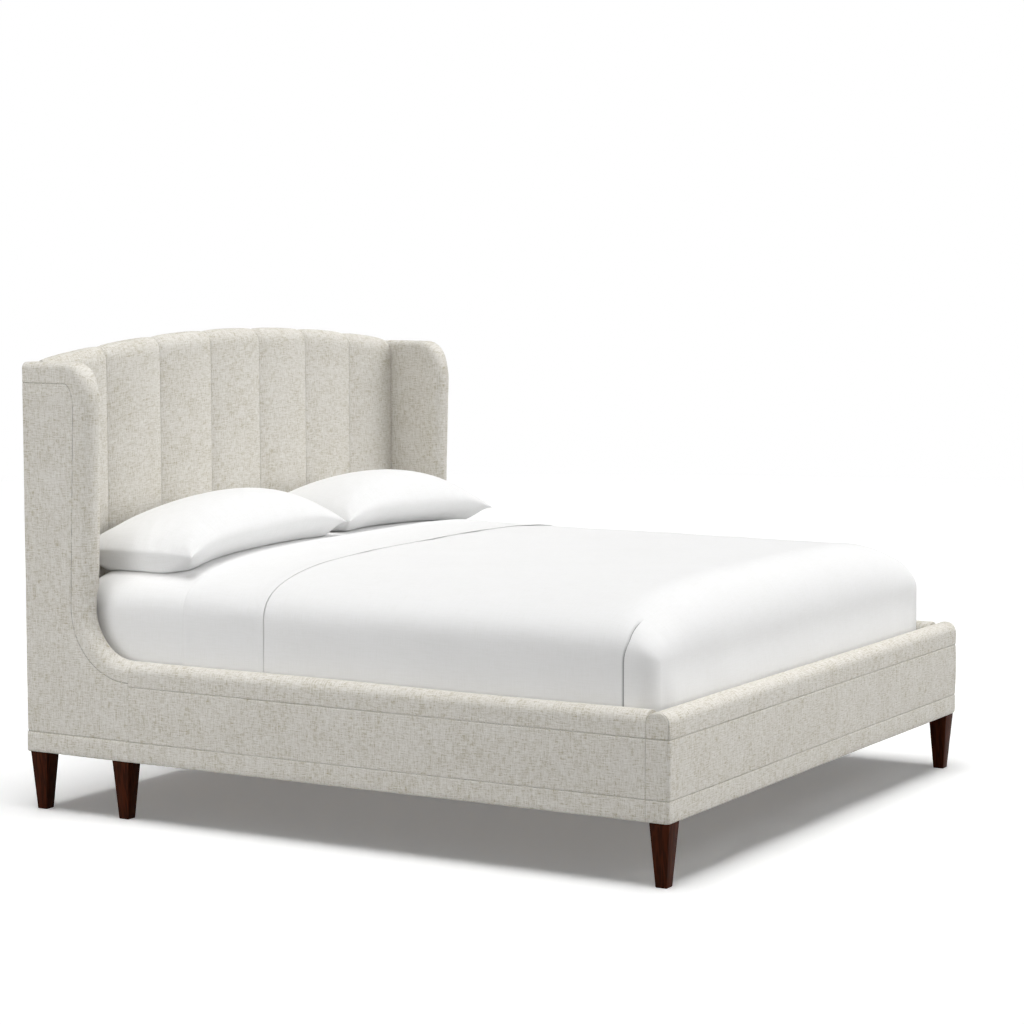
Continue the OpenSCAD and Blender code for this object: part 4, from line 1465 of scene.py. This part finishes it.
@dataclass
class BedLayer:
    """A layer of bedding that follows the crown from end to end and down its sides."""

    name: str
    out: float
    thick: float
    pitch: float
    ripple: Ripple
    head_edge: float | None = None
    fold: Fold | None = None
    flare: float = 0.012
    crease: float = 0.0012
    crown: Crown = field(default_factory=Crown)

    def rows(self) -> np.ndarray:
        """Returns places along from the foot: 0 to 1 up to the pleat, 1 to 2 on to the level top."""
        first = np.linspace(0, 1, 16)
        if self.fold:
            sewn = np.array([0.965, 0.985, 0.997, 1.006, 1.018, 1.04])
            first = np.concatenate([first[:-1][first[:-1] < 0.96], sewn])
            second = np.linspace(1.06, 2, 14)[1:]
        else:
            second = np.linspace(1, 2, 14)[1:]
        return np.concatenate([first, second])

    def grid(self) -> tuple[np.ndarray, np.ndarray]:
        """Builds the top of the layer.

        Returns:
            Points by place along and across, and the strength of the painted shadow line along the pleat's
            edge at each.
        """
        crown = self.crown
        across = crown.across(self.out, self.pitch)
        place = self.rows()
        knee = self.fold.angle(across) if self.fold else np.full_like(across, math.pi / 4)
        along = np.where(
            place[:, None] <= 1, place[:, None] * knee, knee + (place[:, None] - 1) * (math.pi / 2 - knee)
        )
        foot = crown.section(np.broadcast_to(across, along.shape), along, self.out)
        end = crown.foot + crown.end_round
        stop = crown.head - crown.end_round if self.head_edge is None else self.head_edge
        count = max(3, round((stop - end) / self.pitch))
        level = crown.section(across, np.full_like(across, math.pi / 2), self.out)
        rows = np.repeat(level[None], count, axis=0)
        rows[..., 1] = np.linspace(end, stop, count + 1)[1:, None]
        parts = [foot, rows]
        if self.head_edge is None:
            turn = np.linspace(math.pi / 2, 0, 22)[1:]
            turn = np.broadcast_to(turn[:, None], (len(turn), len(across)))
            parts.append(crown.section(np.broadcast_to(across, turn.shape), turn, self.out, head=True))
        points = np.concatenate(parts)
        seam = np.zeros(points.shape[:2])
        if self.fold:
            # Painted shadow: a dark line of the stitch colour just past the pleat's edge, for the shade
            # under the overlapping flap.
            gap = (along - knee) * (crown.end_round + self.out)
            line = np.minimum(1.0, 1.5 * np.exp(-(((gap - 0.0022) / 0.0012) ** 2)))
            seam[: len(place)] = line * self.fold.strength(across)
        return points, seam

    def walls(self, edge: np.ndarray, seam: np.ndarray) -> tuple[np.ndarray, np.ndarray]:
        """Drops a wall from an edge of the top down to the tuck.

        Args:
            edge: Points along the edge.
            seam: Strength of the painted pleat shadow at each.

        Returns:
            Points from the edge down by place along it, and the strength of the painted pleat shadow at
            each.
        """
        share = np.linspace(0, 1, max(4, round(0.165 / self.pitch)) + 1)[:, None, None]
        wall = edge[None] * np.ones_like(share)
        wall[..., 2] = edge[None, :, 2] * (1 - share[..., 0]) + self.crown.tuck * share[..., 0]
        return wall, np.broadcast_to(seam, wall.shape[:2]).copy()

    def relief(self, points: np.ndarray, normals: np.ndarray) -> np.ndarray:
        """Moves points out along their normals by the cloth's ripples and its crease.

        Args:
            points: Points of one patch.
            normals: Outward directions at them.

        Returns:
            The moved points.
        """
        lift = self.ripple.at(points * WALL_RIPPLE)
        side = smoothstep(0.80, 0.94, np.abs(points[..., 0]))
        near = np.exp(-(((points[..., 2] - self.crown.crease_z) / 0.010) ** 2)) * side
        wave = 0.5 + 0.5 * np.sin(points[..., 1] * 5.1 + 1.3)
        lift = lift - self.crease * near * wave
        lift *= smoothstep(self.crown.tuck, self.crown.tuck + 0.05, points[..., 2])
        return points + normals * lift[..., None]

    @staticmethod
    def normals(points: np.ndarray) -> np.ndarray:
        """Returns the outward direction at each point of a patch, away from the middle of the bed."""
        du = np.gradient(points, axis=1)
        dv = np.gradient(points, axis=0)
        normal = np.cross(du, dv)
        normal /= np.maximum(np.linalg.norm(normal, axis=-1, keepdims=True), 1e-12)
        away = points - np.array([0.0, 0.0, 0.45])
        away[..., 1] *= 0.6
        return normal * np.sign(np.sum(normal * away, axis=-1, keepdims=True) + 1e-9)

    def skin(self, bottom: bool = False) -> Skin:
        """Builds the layer's outer surface.

        Args:
            bottom: True to close the underside.

        Returns:
            The skin.
        """
        top, seam = self.grid()
        place = self.rows()
        skin = Skin()
        left, pleat_shade_left = self.walls(top[:, 0], seam[:, 0])
        right, pleat_shade_right = self.walls(top[:, -1], seam[:, -1])
        walls = len(left)
        full = np.concatenate(
            [left[::-1].transpose(1, 0, 2), top[:, 1:-1], right.transpose(1, 0, 2)], axis=1
        )
        seam = np.concatenate([pleat_shade_left[::-1].T, seam[:, 1:-1], pleat_shade_right.T], axis=1)
        direction = self.normals(full)
        moved = self.relief(full, direction)
        if self.fold:
            across = self.crown.across(self.out, self.pitch)
            lips = self.fold.strength(across)
            lips = np.concatenate([np.full(walls - 1, lips[0]), lips, np.full(walls - 1, lips[-1])])
            raised = np.where(place <= 1, smoothstep(0.0, 0.9, place), 0.0)
            step = self.fold.lip * raised[:, None] * lips[None, :]
            pinch = -0.0012 * np.exp(-(((place - 1.012) / 0.02) ** 2))[:, None] * lips[None, :]
            moved[: len(place)] += direction[: len(place)] * (step + pinch)[..., None]
        u = running_length(moved[len(moved) // 2])
        v = running_length(moved[:, moved.shape[1] // 2])
        skin.patch(moved, u, v[:, None], seam)
        hems = []
        for end, sign in ((0, -1), (-1, 1)):
            if end == -1 and self.head_edge is not None:
                continue
            edge = moved[end, walls - 1 : moved.shape[1] - walls + 1]
            face, _ = self.walls(edge, np.zeros(len(edge)))
            drop = edge[:, 2][None] - face[..., 2]
            ripple = self.ripple.at(face * WALL_RIPPLE) * smoothstep(0.0, 0.06, drop)
            ripple *= smoothstep(face[-1, 0, 2], face[-1, 0, 2] + 0.05, face[..., 2])
            if self.fold:
                ripple += self.flare * smoothstep(0.0, 0.12, drop)
            face[..., 1] += sign * ripple
            span = np.abs(edge[:, 0] - edge[0, 0])
            ends = ((0, moved[end, :walls][::-1], span), (-1, moved[end, -walls:], span[-1] - span))
            for side, column, away in ends:
                face += (column - face[:, side])[:, None] * (1 - smoothstep(0.0, 0.08, away))[None, :, None]
            hems.append(face[-1])
            skin.patch(face, face[0, :, 0] + u[-1] / 2, v[end] + sign * (edge[:, 2][None] - face[..., 2]))
        if bottom:
            edge = moved[0, walls - 1 : moved.shape[1] - walls + 1, 0]
            share = ((edge - edge[0]) / (edge[-1] - edge[0]))[None, :, None]
            base = moved[:, :1] * (1 - share) + moved[:, -1:] * share
            base[0], base[-1] = hems
            skin.patch(base, base[..., 0], base[..., 1])
        return skin

    def build(self) -> bpy.types.Object:
        """Builds the layer as a sheet with its thickness inward, and returns it."""
        piece = self.skin().build(self.name, upward=True)
        thicken(piece, self.thick, -1.0)
        return piece


@dataclass
class MattressCore(BedLayer):
    """The mattress itself, under its fitted sheet."""

    def build(self) -> bpy.types.Object:
        """Builds the mattress as a closed body, and returns it."""
        piece = self.skin(bottom=True).build(self.name)
        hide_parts("mattress")
        return piece


@dataclass
class Cuff:
    """The top sheet's turned-down end, rolled over the coverlet's edge and hemmed."""

    fold_y: float = 0.563
    hem_y: float = 0.2705
    under: float = 0.0030
    over: float = 0.0101
    roll: float = 0.0062
    thick: float = 0.0014
    pitch: float = 0.018
    hem: float = 0.0016
    crown: Crown = field(default_factory=Crown)

    def profile(self) -> tuple[np.ndarray, np.ndarray]:
        """Draws the cuff's path from under the coverlet, round its roll and out to the hem.

        Returns:
            Points as place along the bed and distance out, and the strength of the grey hem line at each,
            0.25 along the hem's edge.
        """
        centre = self.fold_y - self.roll
        middle = self.under + self.roll
        turn = np.radians(np.linspace(-90, 90, 15))
        inner = np.array([[centre - 0.016, self.under], [centre - 0.008, self.under]])
        round_ = coords(centre + self.roll * np.cos(turn), middle + self.roll * np.sin(turn))
        settle = np.linspace(0, 1, 9)[1:]
        top = self.under + 2 * self.roll
        ease = coords(centre - 0.045 * settle, top + (self.over - top) * smoothstep(0, 1, settle))
        flat = np.arange(centre - 0.045 - self.pitch, self.hem_y + 0.034, -self.pitch)
        body = coords(flat, self.over)
        sewn = np.array([0.031, 0.029, 0.015, 0.006, self.hem, self.hem - 0.0004, 0.0])
        turned = coords(self.hem_y + sewn, self.over)
        turned[1:, 1] += 0.0007
        path = np.concatenate([inner, round_, ease, body, turned])
        # The grey hem line is partly the hem's stitch colour and partly painted shade of the turned edge.
        return path, 0.25 * (path[:, 0] < self.hem_y + self.hem)

    def build(self) -> bpy.types.Object:
        """Builds the cuff as one folded sheet, and returns it."""
        path, edge = self.profile()
        across = self.crown.across(self.over, self.pitch)
        right = np.full_like(across, math.pi / 2)
        ripple = Ripple(123, 0.16, 0.0007)
        rows = []
        share = np.linspace(0, 1, 10)[1:]
        for y, out in path:
            line = self.crown.section(across, right, out)
            line[:, 1] = y
            tuck = self.crown.tuck + 0.002
            down = self.crown.start + (tuck - self.crown.start) * share
            left = coords(line[0, 0], y, down)
            far = left * np.array([-1.0, 1.0, 1.0])
            rows.append(np.concatenate([left[::-1], line, far]))
        points = np.array(rows)
        strip = np.repeat(points[-1:], 3, axis=0) + np.array([0, 1, 0]) * np.arange(3)[:, None, None]
        normal = BedLayer.normals(strip)[1]
        normal[:, 1] = 0.0
        normal /= np.maximum(np.linalg.norm(normal, axis=-1, keepdims=True), 1e-9)
        lift = ripple.at(points * WALL_RIPPLE) * smoothstep(0.435, 0.49, points[..., 2])
        points = points + normal[None] * lift[..., None]
        sway = Ripple(124, 0.55, 0.0016).at(points * np.array([1.0, 0.0, 1.0]))
        points[..., 1] += sway
        u = running_length(points[-1])
        v = running_length(path)
        skin = Skin()
        # Painted shade: the hem line is strongest on the top and fades to faint down the sides.
        sewn = edge[:, None] * (0.15 + 0.85 * smoothstep(0.62, 0.71, points[..., 2]))
        skin.patch(points, u, v[:, None], sewn)
        piece = skin.build("cuff_cloth")
        thicken(piece, self.thick, 0.0)
        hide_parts("top_sheet")
        return piece


@dataclass
class Pillow:
    """A plump pillow in a plain case, sewn along its edge and resting on the bed."""

    side: Side
    droop: float
    sink: float
    rise: float = 0.106
    lean: float = 0.25
    splay: float = 0.022
    arch: float = 0.041
    seat: float = 0.0030
    length: float = 0.890
    depth: float = 0.430
    pull: float = 0.016
    y: float = 0.820
    seam_up: float = 0.042
    cap: float = 0.006
    slack: float = 0.008
    crease: float = 0.0050
    creases_at: tuple[tuple[float, ...], ...] = ((-0.52, 0.9, 0.05), (-0.3, 1.3, 0.062), (-0.04, 1.1, 0.055))
    pressure: float = 4.0
    shrink: float = -0.012
    stiffness: float = 18.0
    frames: int = 20
    crown: Crown = field(default_factory=Crown)

    @property
    def body(self) -> str:
        """Name of the body that the pillow is."""
        return f"pillow_{self.side.name.lower()}"

    def shape(self, cols: int, rows: int) -> tuple[np.ndarray, np.ndarray]:
        """Builds the two sides of the unfilled case.

        Args:
            cols: Points along the pillow.
            rows: Points across it.

        Returns:
            Points of the upper side and the lower side.
        """
        u = np.sin(np.linspace(-1, 1, cols) * math.pi / 2)[None, :] * np.ones((rows, 1))
        v = np.sin(np.linspace(-1, 1, rows) * math.pi / 2)[:, None] * np.ones((1, cols))
        full = np.maximum((1 - u * u) * (1 - v * v), 0.0)
        low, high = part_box(self.body)
        outer = (1 + self.side.value * u) / 2
        x = (low.x + high.x) / 2 + u * (self.length / 2 - self.pull * (1 - v * v))
        y = self.y + v * (self.depth / 2 - self.pull * (1 - u * u)) - self.splay * outer * (1 - v) / 2
        seam_z = self.seam_height() + self.droop * (0.5 - outer) + self.arch * (1 - u**4)
        up = seam_z + self.rise * (1 - self.lean * v) * full**0.55 - self.creases(outer, v)
        up -= self.slack * (1 - np.exp(-12 * full))
        near = 0.060 + 0.080 * smoothstep(0.3, 1.0, -v)
        away = ((1 - np.abs(u)) * self.length / 2 / near, (1 - np.abs(v)) * self.depth / 2 / 0.165)
        slope = [1 - (1 - np.clip(share, 0.0, 1.0)) ** 2 for share in away]
        deep = self.sink * (slope[0] * slope[1]) ** 0.62 * (1 - np.abs(u * v) ** 10)
        down = np.maximum(seam_z - deep, self.crown.top(x, y, self.seat))
        edge = full < 1e-9
        down = np.where(edge, seam_z, down)
        up = np.where(edge, seam_z, up)
        return coords(x, y, up), coords(x, y, down)

    def creases(self, outer: np.ndarray, v: np.ndarray) -> np.ndarray:
        """Returns the depth of the soft folds that run in from the outer end.

        Args:
            outer: Share of the way to the outer end.
            v: Place across the pillow from -1 to 1.
        """
        depth = np.zeros_like(outer)
        for middle, slant, width in self.creases_at:
            off = v - middle - slant * (1 - outer)
            depth += np.exp(-((off / width) ** 2)) * (1 + 0.5 * np.tanh(off / width))
        reach = smoothstep(0.0, 0.012, 1 - outer) * (1 - smoothstep(0.03, 0.20, 1 - outer))
        return self.crease * depth * reach

    def seam_height(self) -> float:
        """Returns the height of the seam at the middle of the pillow."""
        crest = self.crown.start + self.crown.height + 0.0025
        return crest + self.seam_up - self.droop / 2

    def build(self) -> bpy.types.Object:
        """Builds the pillow and fills it by simulation, and returns it."""
        cols, rows = 90, 52
        upper, lower = self.shape(cols, rows)
        u = running_length(upper[rows // 2])
        v = running_length(upper[:, cols // 2])[:, None]
        skin = Skin()
        skin.patch(upper, u, v)
        skin.patch(lower, u, v + 1.3)
        piece = skin.build(f"{self.body}_case")
        self.fill(piece)
        self.sew(piece)
        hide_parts(self.body)
        return piece

    def fill(self, piece: bpy.types.Object) -> None:
        """Fills the case with air pressure and lets its cloth pull at the seam."""
        start = coordinates(piece.data)
        cloth = piece.modifiers.new("filling", "CLOTH")
        settings = cloth.settings
        settings.use_pressure = True
        settings.uniform_pressure_force = self.pressure
        settings.effector_weights.gravity = 0.0
        settings.shrink_min = self.shrink
        settings.quality = 6
        settings.tension_stiffness = settings.compression_stiffness = self.stiffness
        settings.bending_stiffness = 0.6
        cloth.collision_settings.use_collision = False
        scene = bpy.context.scene
        for frame_number in range(1, self.frames + 1):
            scene.frame_set(frame_number)
        graph = bpy.context.evaluated_depsgraph_get()
        ended = coordinates(piece.evaluated_get(graph).data)
        piece.modifiers.remove(cloth)
        scene.frame_set(1)
        move = ended - start
        far = np.linalg.norm(move, axis=1, keepdims=True)
        move *= np.minimum(1.0, self.cap / np.maximum(far, 1e-9))
        placed = start + move
        floor = self.crown.top(placed[:, 0], placed[:, 1], self.seat) + 0.0002
        placed[:, 2] = np.maximum(placed[:, 2], floor)
        piece.data.vertices.foreach_set("co", placed.ravel())
        piece.data.update()

    def sew(self, piece: bpy.types.Object) -> None:
        """Rounds the case with one subdivision."""
        finer = piece.modifiers.new("rounding", "SUBSURF")
        finer.levels = finer.render_levels = 1
        apply_modifiers(piece)
        for polygon in piece.data.polygons:
            polygon.use_smooth = True


# ---- legs


@dataclass
class Leg:
    """A tapered square leg with eased edges and a narrow border round its sole."""

    node: str
    foot: float = 0.035
    ease: float = 0.0018

    def build(self) -> bpy.types.Object:
        """Shapes the leg from a cube, and returns it."""
        low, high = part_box(self.node)
        centre = (low + high) / 2
        deselect_all()
        bpy.ops.mesh.primitive_cube_add(size=1, location=centre, scale=high - low)
        piece = bpy.context.object
        piece.name = f"{self.node}_turned"
        bpy.ops.object.transform_apply(location=True, rotation=False, scale=True)
        bpy.ops.object.mode_set(mode="EDIT")
        work = bmesh.from_edit_mesh(piece.data)
        for face in work.faces:
            face.select = face.normal.z < -0.9
        work.select_flush_mode()
        bmesh.update_edit_mesh(piece.data)
        share = self.foot / (high.x - low.x)
        bpy.ops.transform.resize(value=(share, share, 1.0), center_override=(centre.x, centre.y, low.z))
        bpy.ops.mesh.select_all(action="SELECT")
        bpy.ops.mesh.bevel(offset=self.ease, segments=3, affect="EDGES")
        bpy.ops.mesh.select_all(action="DESELECT")
        work = bmesh.from_edit_mesh(piece.data)
        for face in work.faces:
            face.select = face.normal.z < -0.99 and face.calc_area() > 1e-4
        bmesh.update_edit_mesh(piece.data)
        bpy.ops.mesh.inset(thickness=0.004, depth=0.0)
        bpy.ops.object.mode_set(mode="OBJECT")
        shade(piece, 50.0)
        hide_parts(self.node)
        return piece


# ---- whole bed


class Finishes:
    """Every finish of the bed, made once and shared by its pieces."""

    def __init__(self) -> None:
        """Makes the materials."""
        self.tweed = HeatheredTweed().material()
        self.lining = WashedCotton(
            "dust_lining", srgb(150, 147, 141), srgb(134, 131, 125), srgb(96, 93, 88), pitch=0.0012
        ).material()
        self.cotton = WashedCotton("white_cotton").material()
        pillow_whites = srgb(233, 233, 233), srgb(228, 228, 227)
        self.pillow_cotton = WashedCotton("pillow_cotton", *pillow_whites).material()
        self.ticking = WashedCotton("ticking", srgb(226, 224, 218), srgb(206, 204, 198)).material()
        espresso = {"dark": srgb(44, 20, 11), "light": srgb(66, 30, 15), "ring_size": 0.016}
        self.legs = SolidWood(
            "espresso_lacquer", grain=Grain.Z, roughness=0.45, specular=0.03, **espresso
        ).material()
        pine = {"dark": srgb(196, 160, 112), "light": srgb(226, 198, 152)}
        self.pine = {
            axis: SolidWood(f"pine_{axis.name.lower()}", grain=axis, **pine).material() for axis in Grain
        }
        self.slats = SolidWood(
            "birch_slats", srgb(208, 178, 134), srgb(234, 212, 174), Grain.X, ring_size=0.045
        ).material()
        self.brackets = ZincSteel("zinc_brackets").material()
        self.bolts = ZincSteel("bolt_steel", srgb(150, 152, 155), srgb(112, 114, 118)).material()


@dataclass
class Bed:
    """The whole bed: its upholstery, its bedding and the frame inside."""

    finishes: Finishes

    def place(
        self,
        piece: bpy.types.Object,
        body: str,
        slot: str,
        material: bpy.types.Material,
        fill: float | None = None,
    ) -> None:
        """Finishes a piece and hangs it on its body.

        Args:
            piece: The piece.
            body: Body that it moves with.
            slot: Name of the record's slot for its finish; not used.
            material: Its finish.
            fill: How full it is if it is padded; not used.
        """
        dress(piece, material)
        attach(piece, body)
        LOG.info("%s: %d faces", piece.name, len(piece.data.polygons))

    def upholstery(self) -> None:
        """Builds the headboard, the wings and the rails."""
        finishes = self.finishes
        for number in range(1, 8):
            self.place(ChannelPad(number).build(), "bed_frame", "upholstery", finishes.tweed, 0.85)
        for side in Side:
            self.place(Wing(side).build(), "bed_frame", "upholstery", finishes.tweed, 0.9)
            self.place(SideRail(side).build(), "bed_frame", "upholstery", finishes.tweed, 0.9)
        self.place(FootRail().build(), "bed_frame", "upholstery", finishes.tweed, 0.9)
        self.place(HeadboardBack().build(), "bed_frame", "back_fabric", finishes.lining)

    def bedding(self) -> None:
        """Builds the mattress, the sheets, the coverlet and the pillows."""
        finishes = self.finishes
        core = MattressCore("mattress_core", 0.0, 0.0, 0.036, Ripple(101, 0.3, 0.0002))
        self.place(core.build(), "mattress", "ticking", finishes.ticking, 0.9)
        fitted = BedLayer("fitted_sheet_cloth", 0.0023, 0.0018, 0.022, Ripple(102, 0.22, 0.0004)).build()
        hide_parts("fitted_sheet")
        self.place(fitted, "mattress", "bed_linen", finishes.cotton)
        coverlet = BedLayer(
            "coverlet_cloth", 0.0090, 0.0055, 0.018, Ripple(103, 0.20, 0.0010), head_edge=0.550, fold=Fold()
        ).build()
        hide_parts("coverlet")
        self.place(coverlet, "coverlet", "bed_linen", finishes.cotton)
        self.place(Cuff().build(), "coverlet", "bed_linen", finishes.cotton)
        for pillow in (Pillow(Side.LEFT, 0.030, 0.100), Pillow(Side.RIGHT, 0.027, 0.080)):
            self.place(pillow.build(), pillow.body, "pillow_linen", finishes.pillow_cotton, 0.85)

    def legs(self) -> None:
        """Builds the six outer legs."""
        for row in ("rear", "wing", "foot"):
            for side in Side:
                leg = Leg(f"leg_{row}_{side.name.lower()}").build()
                self.place(leg, "bed_frame", "leg_wood", self.finishes.legs)

    def carcass(self) -> None:
        """Gives each remaining part of the frame its own finish."""
        finishes = self.finishes
        upright = ("headboard_post", "centre_leg", "headboard_panel", "wing_board")
        lengthwise = ("side_rail_board", "slat_ledge", "centre_beam")
        for name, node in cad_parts.items():
            if node.hide_render:
                continue
            if "bolts" in name or name.startswith("levelling_foot"):
                finish = finishes.bolts
            elif "bracket" in name or "hangers" in name:
                finish = finishes.brackets
            elif name.startswith("slat_") and not name.startswith("slat_ledge"):
                finish = finishes.slats
            elif name.startswith(upright):
                finish = finishes.pine[Grain.Z]
            elif name.startswith(lengthwise):
                finish = finishes.pine[Grain.Y]
            else:
                finish = finishes.pine[Grain.X]
            dress(node, finish)
            LOG.info("%s: %s", name, finish.name)


@dataclass
class Studio:
    """Pale floor, plain soft light and the camera."""

    ambient: float = 0.10
    bounce: float = 0.5
    floor_glow: float = 0.18
    floor_near: float = 6.0
    place: tuple[float, float, float] = (-7.7882, -4.5268, 1.7664)
    turn: tuple[float, float, float] = (math.pi / 2 - 0.0974, 0.0, -1.0453)
    lens: float = 100.07

    @staticmethod
    def seen(graph: Graph) -> bpy.types.NodeSocket:
        """Returns 1 for rays that show the background: straight, mirrored or through glass."""
        path = graph.add("ShaderNodeLightPath")
        rays = [path.outputs[n] for n in ("Is Camera Ray", "Is Glossy Ray", "Is Transmission Ray")]
        return graph.maths("MAXIMUM", graph.maths("MAXIMUM", rays[0], rays[1]), rays[2])

    def world(self) -> None:
        """Makes an even pale sky that shows as white."""
        world = bpy.data.worlds.new("studio")
        bpy.context.scene.world = world
        graph = blank_graph(world)
        light = graph.add("ShaderNodeBackground", in_Color=(1, 1, 1, 1), in_Strength=self.ambient)
        show = graph.add("ShaderNodeBackground", in_Color=(1, 1, 1, 1), in_Strength=1.0)
        mix = graph.add("ShaderNodeMixShader")
        graph.link(self.seen(graph), mix.inputs[0])
        graph.link(light.outputs[0], mix.inputs[1])
        graph.link(show.outputs[0], mix.inputs[2])
        graph.link(mix.outputs[0], graph.add("ShaderNodeOutputWorld").inputs[0])

    def floor(self) -> bpy.types.Object:
        """Lays a wide floor that shows white and keeps the bed's shadow, and returns it."""
        deselect_all()
        bpy.ops.mesh.primitive_circle_add(vertices=96, radius=60.0, fill_type="NGON", location=(0, 0, 0))
        floor = bpy.context.object
        floor.name = "studio_floor"
        material = bpy.data.materials.new("white_floor")
        graph = blank_graph(material)
        plain = graph.add("ShaderNodeBsdfDiffuse", in_Color=(self.bounce, self.bounce, self.bounce, 1))
        white = graph.add("ShaderNodeBsdfDiffuse", in_Color=(1, 1, 1, 1))
        glow = graph.add("ShaderNodeEmission", in_Color=(1, 1, 1, 1), in_Strength=self.floor_glow)
        sky = graph.add("ShaderNodeEmission", in_Color=(1, 1, 1, 1), in_Strength=1.0)
        spot = graph.add("ShaderNodeTexCoord").outputs["Object"]
        away = graph.add("ShaderNodeVectorMath", operation="LENGTH")
        graph.link(spot, away.inputs[0])
        past = graph.maths("SUBTRACT", away.outputs["Value"], self.floor_near)
        far = graph.maths("DIVIDE", past, self.floor_near)
        both, mix = graph.add("ShaderNodeAddShader"), graph.add("ShaderNodeMixShader")
        fade = graph.add("ShaderNodeMixShader")
        graph.link(white.outputs[0], both.inputs[0])
        graph.link(glow.outputs[0], both.inputs[1])
        graph.link(graph.maths("MINIMUM", graph.maths("MAXIMUM", far, 0.0), 1.0), fade.inputs[0])
        graph.link(both.outputs[0], fade.inputs[1])
        graph.link(sky.outputs[0], fade.inputs[2])
        graph.link(self.seen(graph), mix.inputs[0])
        graph.link(plain.outputs[0], mix.inputs[1])
        graph.link(fade.outputs[0], mix.inputs[2])
        graph.link(mix.outputs[0], graph.add("ShaderNodeOutputMaterial").inputs[0])
        dress(floor, material)
        return floor

    @staticmethod
    def lamp(name: str, kind: str, power: float, flag: bpy.types.Collection | None) -> bpy.types.Object:
        """Adds a lamp that lights what its flag says, or everything, and returns it."""
        data = bpy.data.lights.new(name, kind)
        data.energy = power
        lamp = bpy.data.objects.new(name, data)
        bpy.context.scene.collection.objects.link(lamp)
        lamp.light_linking.receiver_collection = flag
        return lamp

    def sun(
        self,
        name: str,
        strength: float,
        spread: float,
        azimuth: float,
        height: float,
        flag: bpy.types.Collection | None = None,
    ) -> None:
        """Adds a distant soft lamp.

        Args:
            name: Name of the lamp.
            strength: Its strength.
            spread: Width of its disc in degrees.
            azimuth: Side that it shines from in degrees, where 0 is the foot and 90 the right.
            height: Its height over the horizon in degrees.
            flag: Flag that says what its light falls on, or None for everything.
        """
        lamp = self.lamp(name, "SUN", strength, flag)
        lamp.data.angle = math.radians(spread)
        a, h = math.radians(azimuth), math.radians(height)
        back = Vector((math.sin(a) * math.cos(h), -math.cos(a) * math.cos(h), math.sin(h)))
        lamp.rotation_euler = back.to_track_quat("Z", "Y").to_euler()

    @staticmethod
    def flag(target: bpy.types.Object, state: str) -> bpy.types.Collection:
        """Makes a flag for lamps.

        Args:
            target: Object that the flag is for.
            state: EXCLUDE to keep the light off the object, or INCLUDE to light nothing else.

        Returns:
            The flag.
        """
        flag = bpy.data.collections.new(f"floor_{state.lower()}")
        flag.objects.link(target)
        flag.collection_objects[0].light_linking.link_state = state
        return flag

    def panel(
        self,
        name: str,
        power: float,
        size: float,
        place: Vector,
        target: Vector,
        flag: bpy.types.Collection,
    ) -> None:
        """Adds a square lamp near the bed.

        Args:
            name: Name of the lamp.
            power: Its power in watts.
            size: Length of its sides.
            place: Its middle.
            target: Point that it faces.
            flag: Flag that says what its light falls on.
        """
        lamp = self.lamp(name, "AREA", power, flag)
        lamp.data.size = size
        lamp.location = place
        lamp.rotation_euler = (place - target).to_track_quat("Z", "Y").to_euler()
        lamp.visible_camera = False

    def camera(self) -> None:
        """Places the camera."""
        data = bpy.data.cameras.new("camera")
        data.lens = self.lens
        data.clip_end = 200.0
        camera = bpy.data.objects.new("camera", data)
        camera.location = self.place
        camera.rotation_euler = self.turn
        bpy.context.scene.collection.objects.link(camera)
        bpy.context.scene.camera = camera

    def build(self) -> None:
        """Sets up the studio."""
        self.world()
        floor = self.floor()
        self.sun("overhead_softbox", 2.28, 34.0, 300.0, 84.0)
        self.sun("floor_wash", 0.13, 50.0, 300.0, 84.0, self.flag(floor, "INCLUDE"))
        flag = self.flag(floor, "EXCLUDE")
        self.sun("left_softbox", 0.72, 60.0, 275.0, 12.0, flag)
        self.sun("corner_softbox", 0.13, 60.0, 318.0, 14.0, flag)
        self.sun("right_softbox", 2.03, 50.0, 40.0, 16.0, flag)
        self.panel("head_softbox", 29.0, 2.0, Vector((-4.2, 1.6, 1.3)), Vector((-1.0, 0.3, 0.6)), flag)
        self.camera()
        bpy.context.scene.view_settings.view_transform = "Standard"


def main() -> None:
    """Builds the bed and the studio."""
    logging.basicConfig(level=logging.INFO, format="%(name)s %(message)s")
    bed = Bed(Finishes())
    bed.upholstery()
    bed.legs()
    bed.bedding()
    bed.carcass()
    Studio().build()


if __name__ == "__main__":
    main()
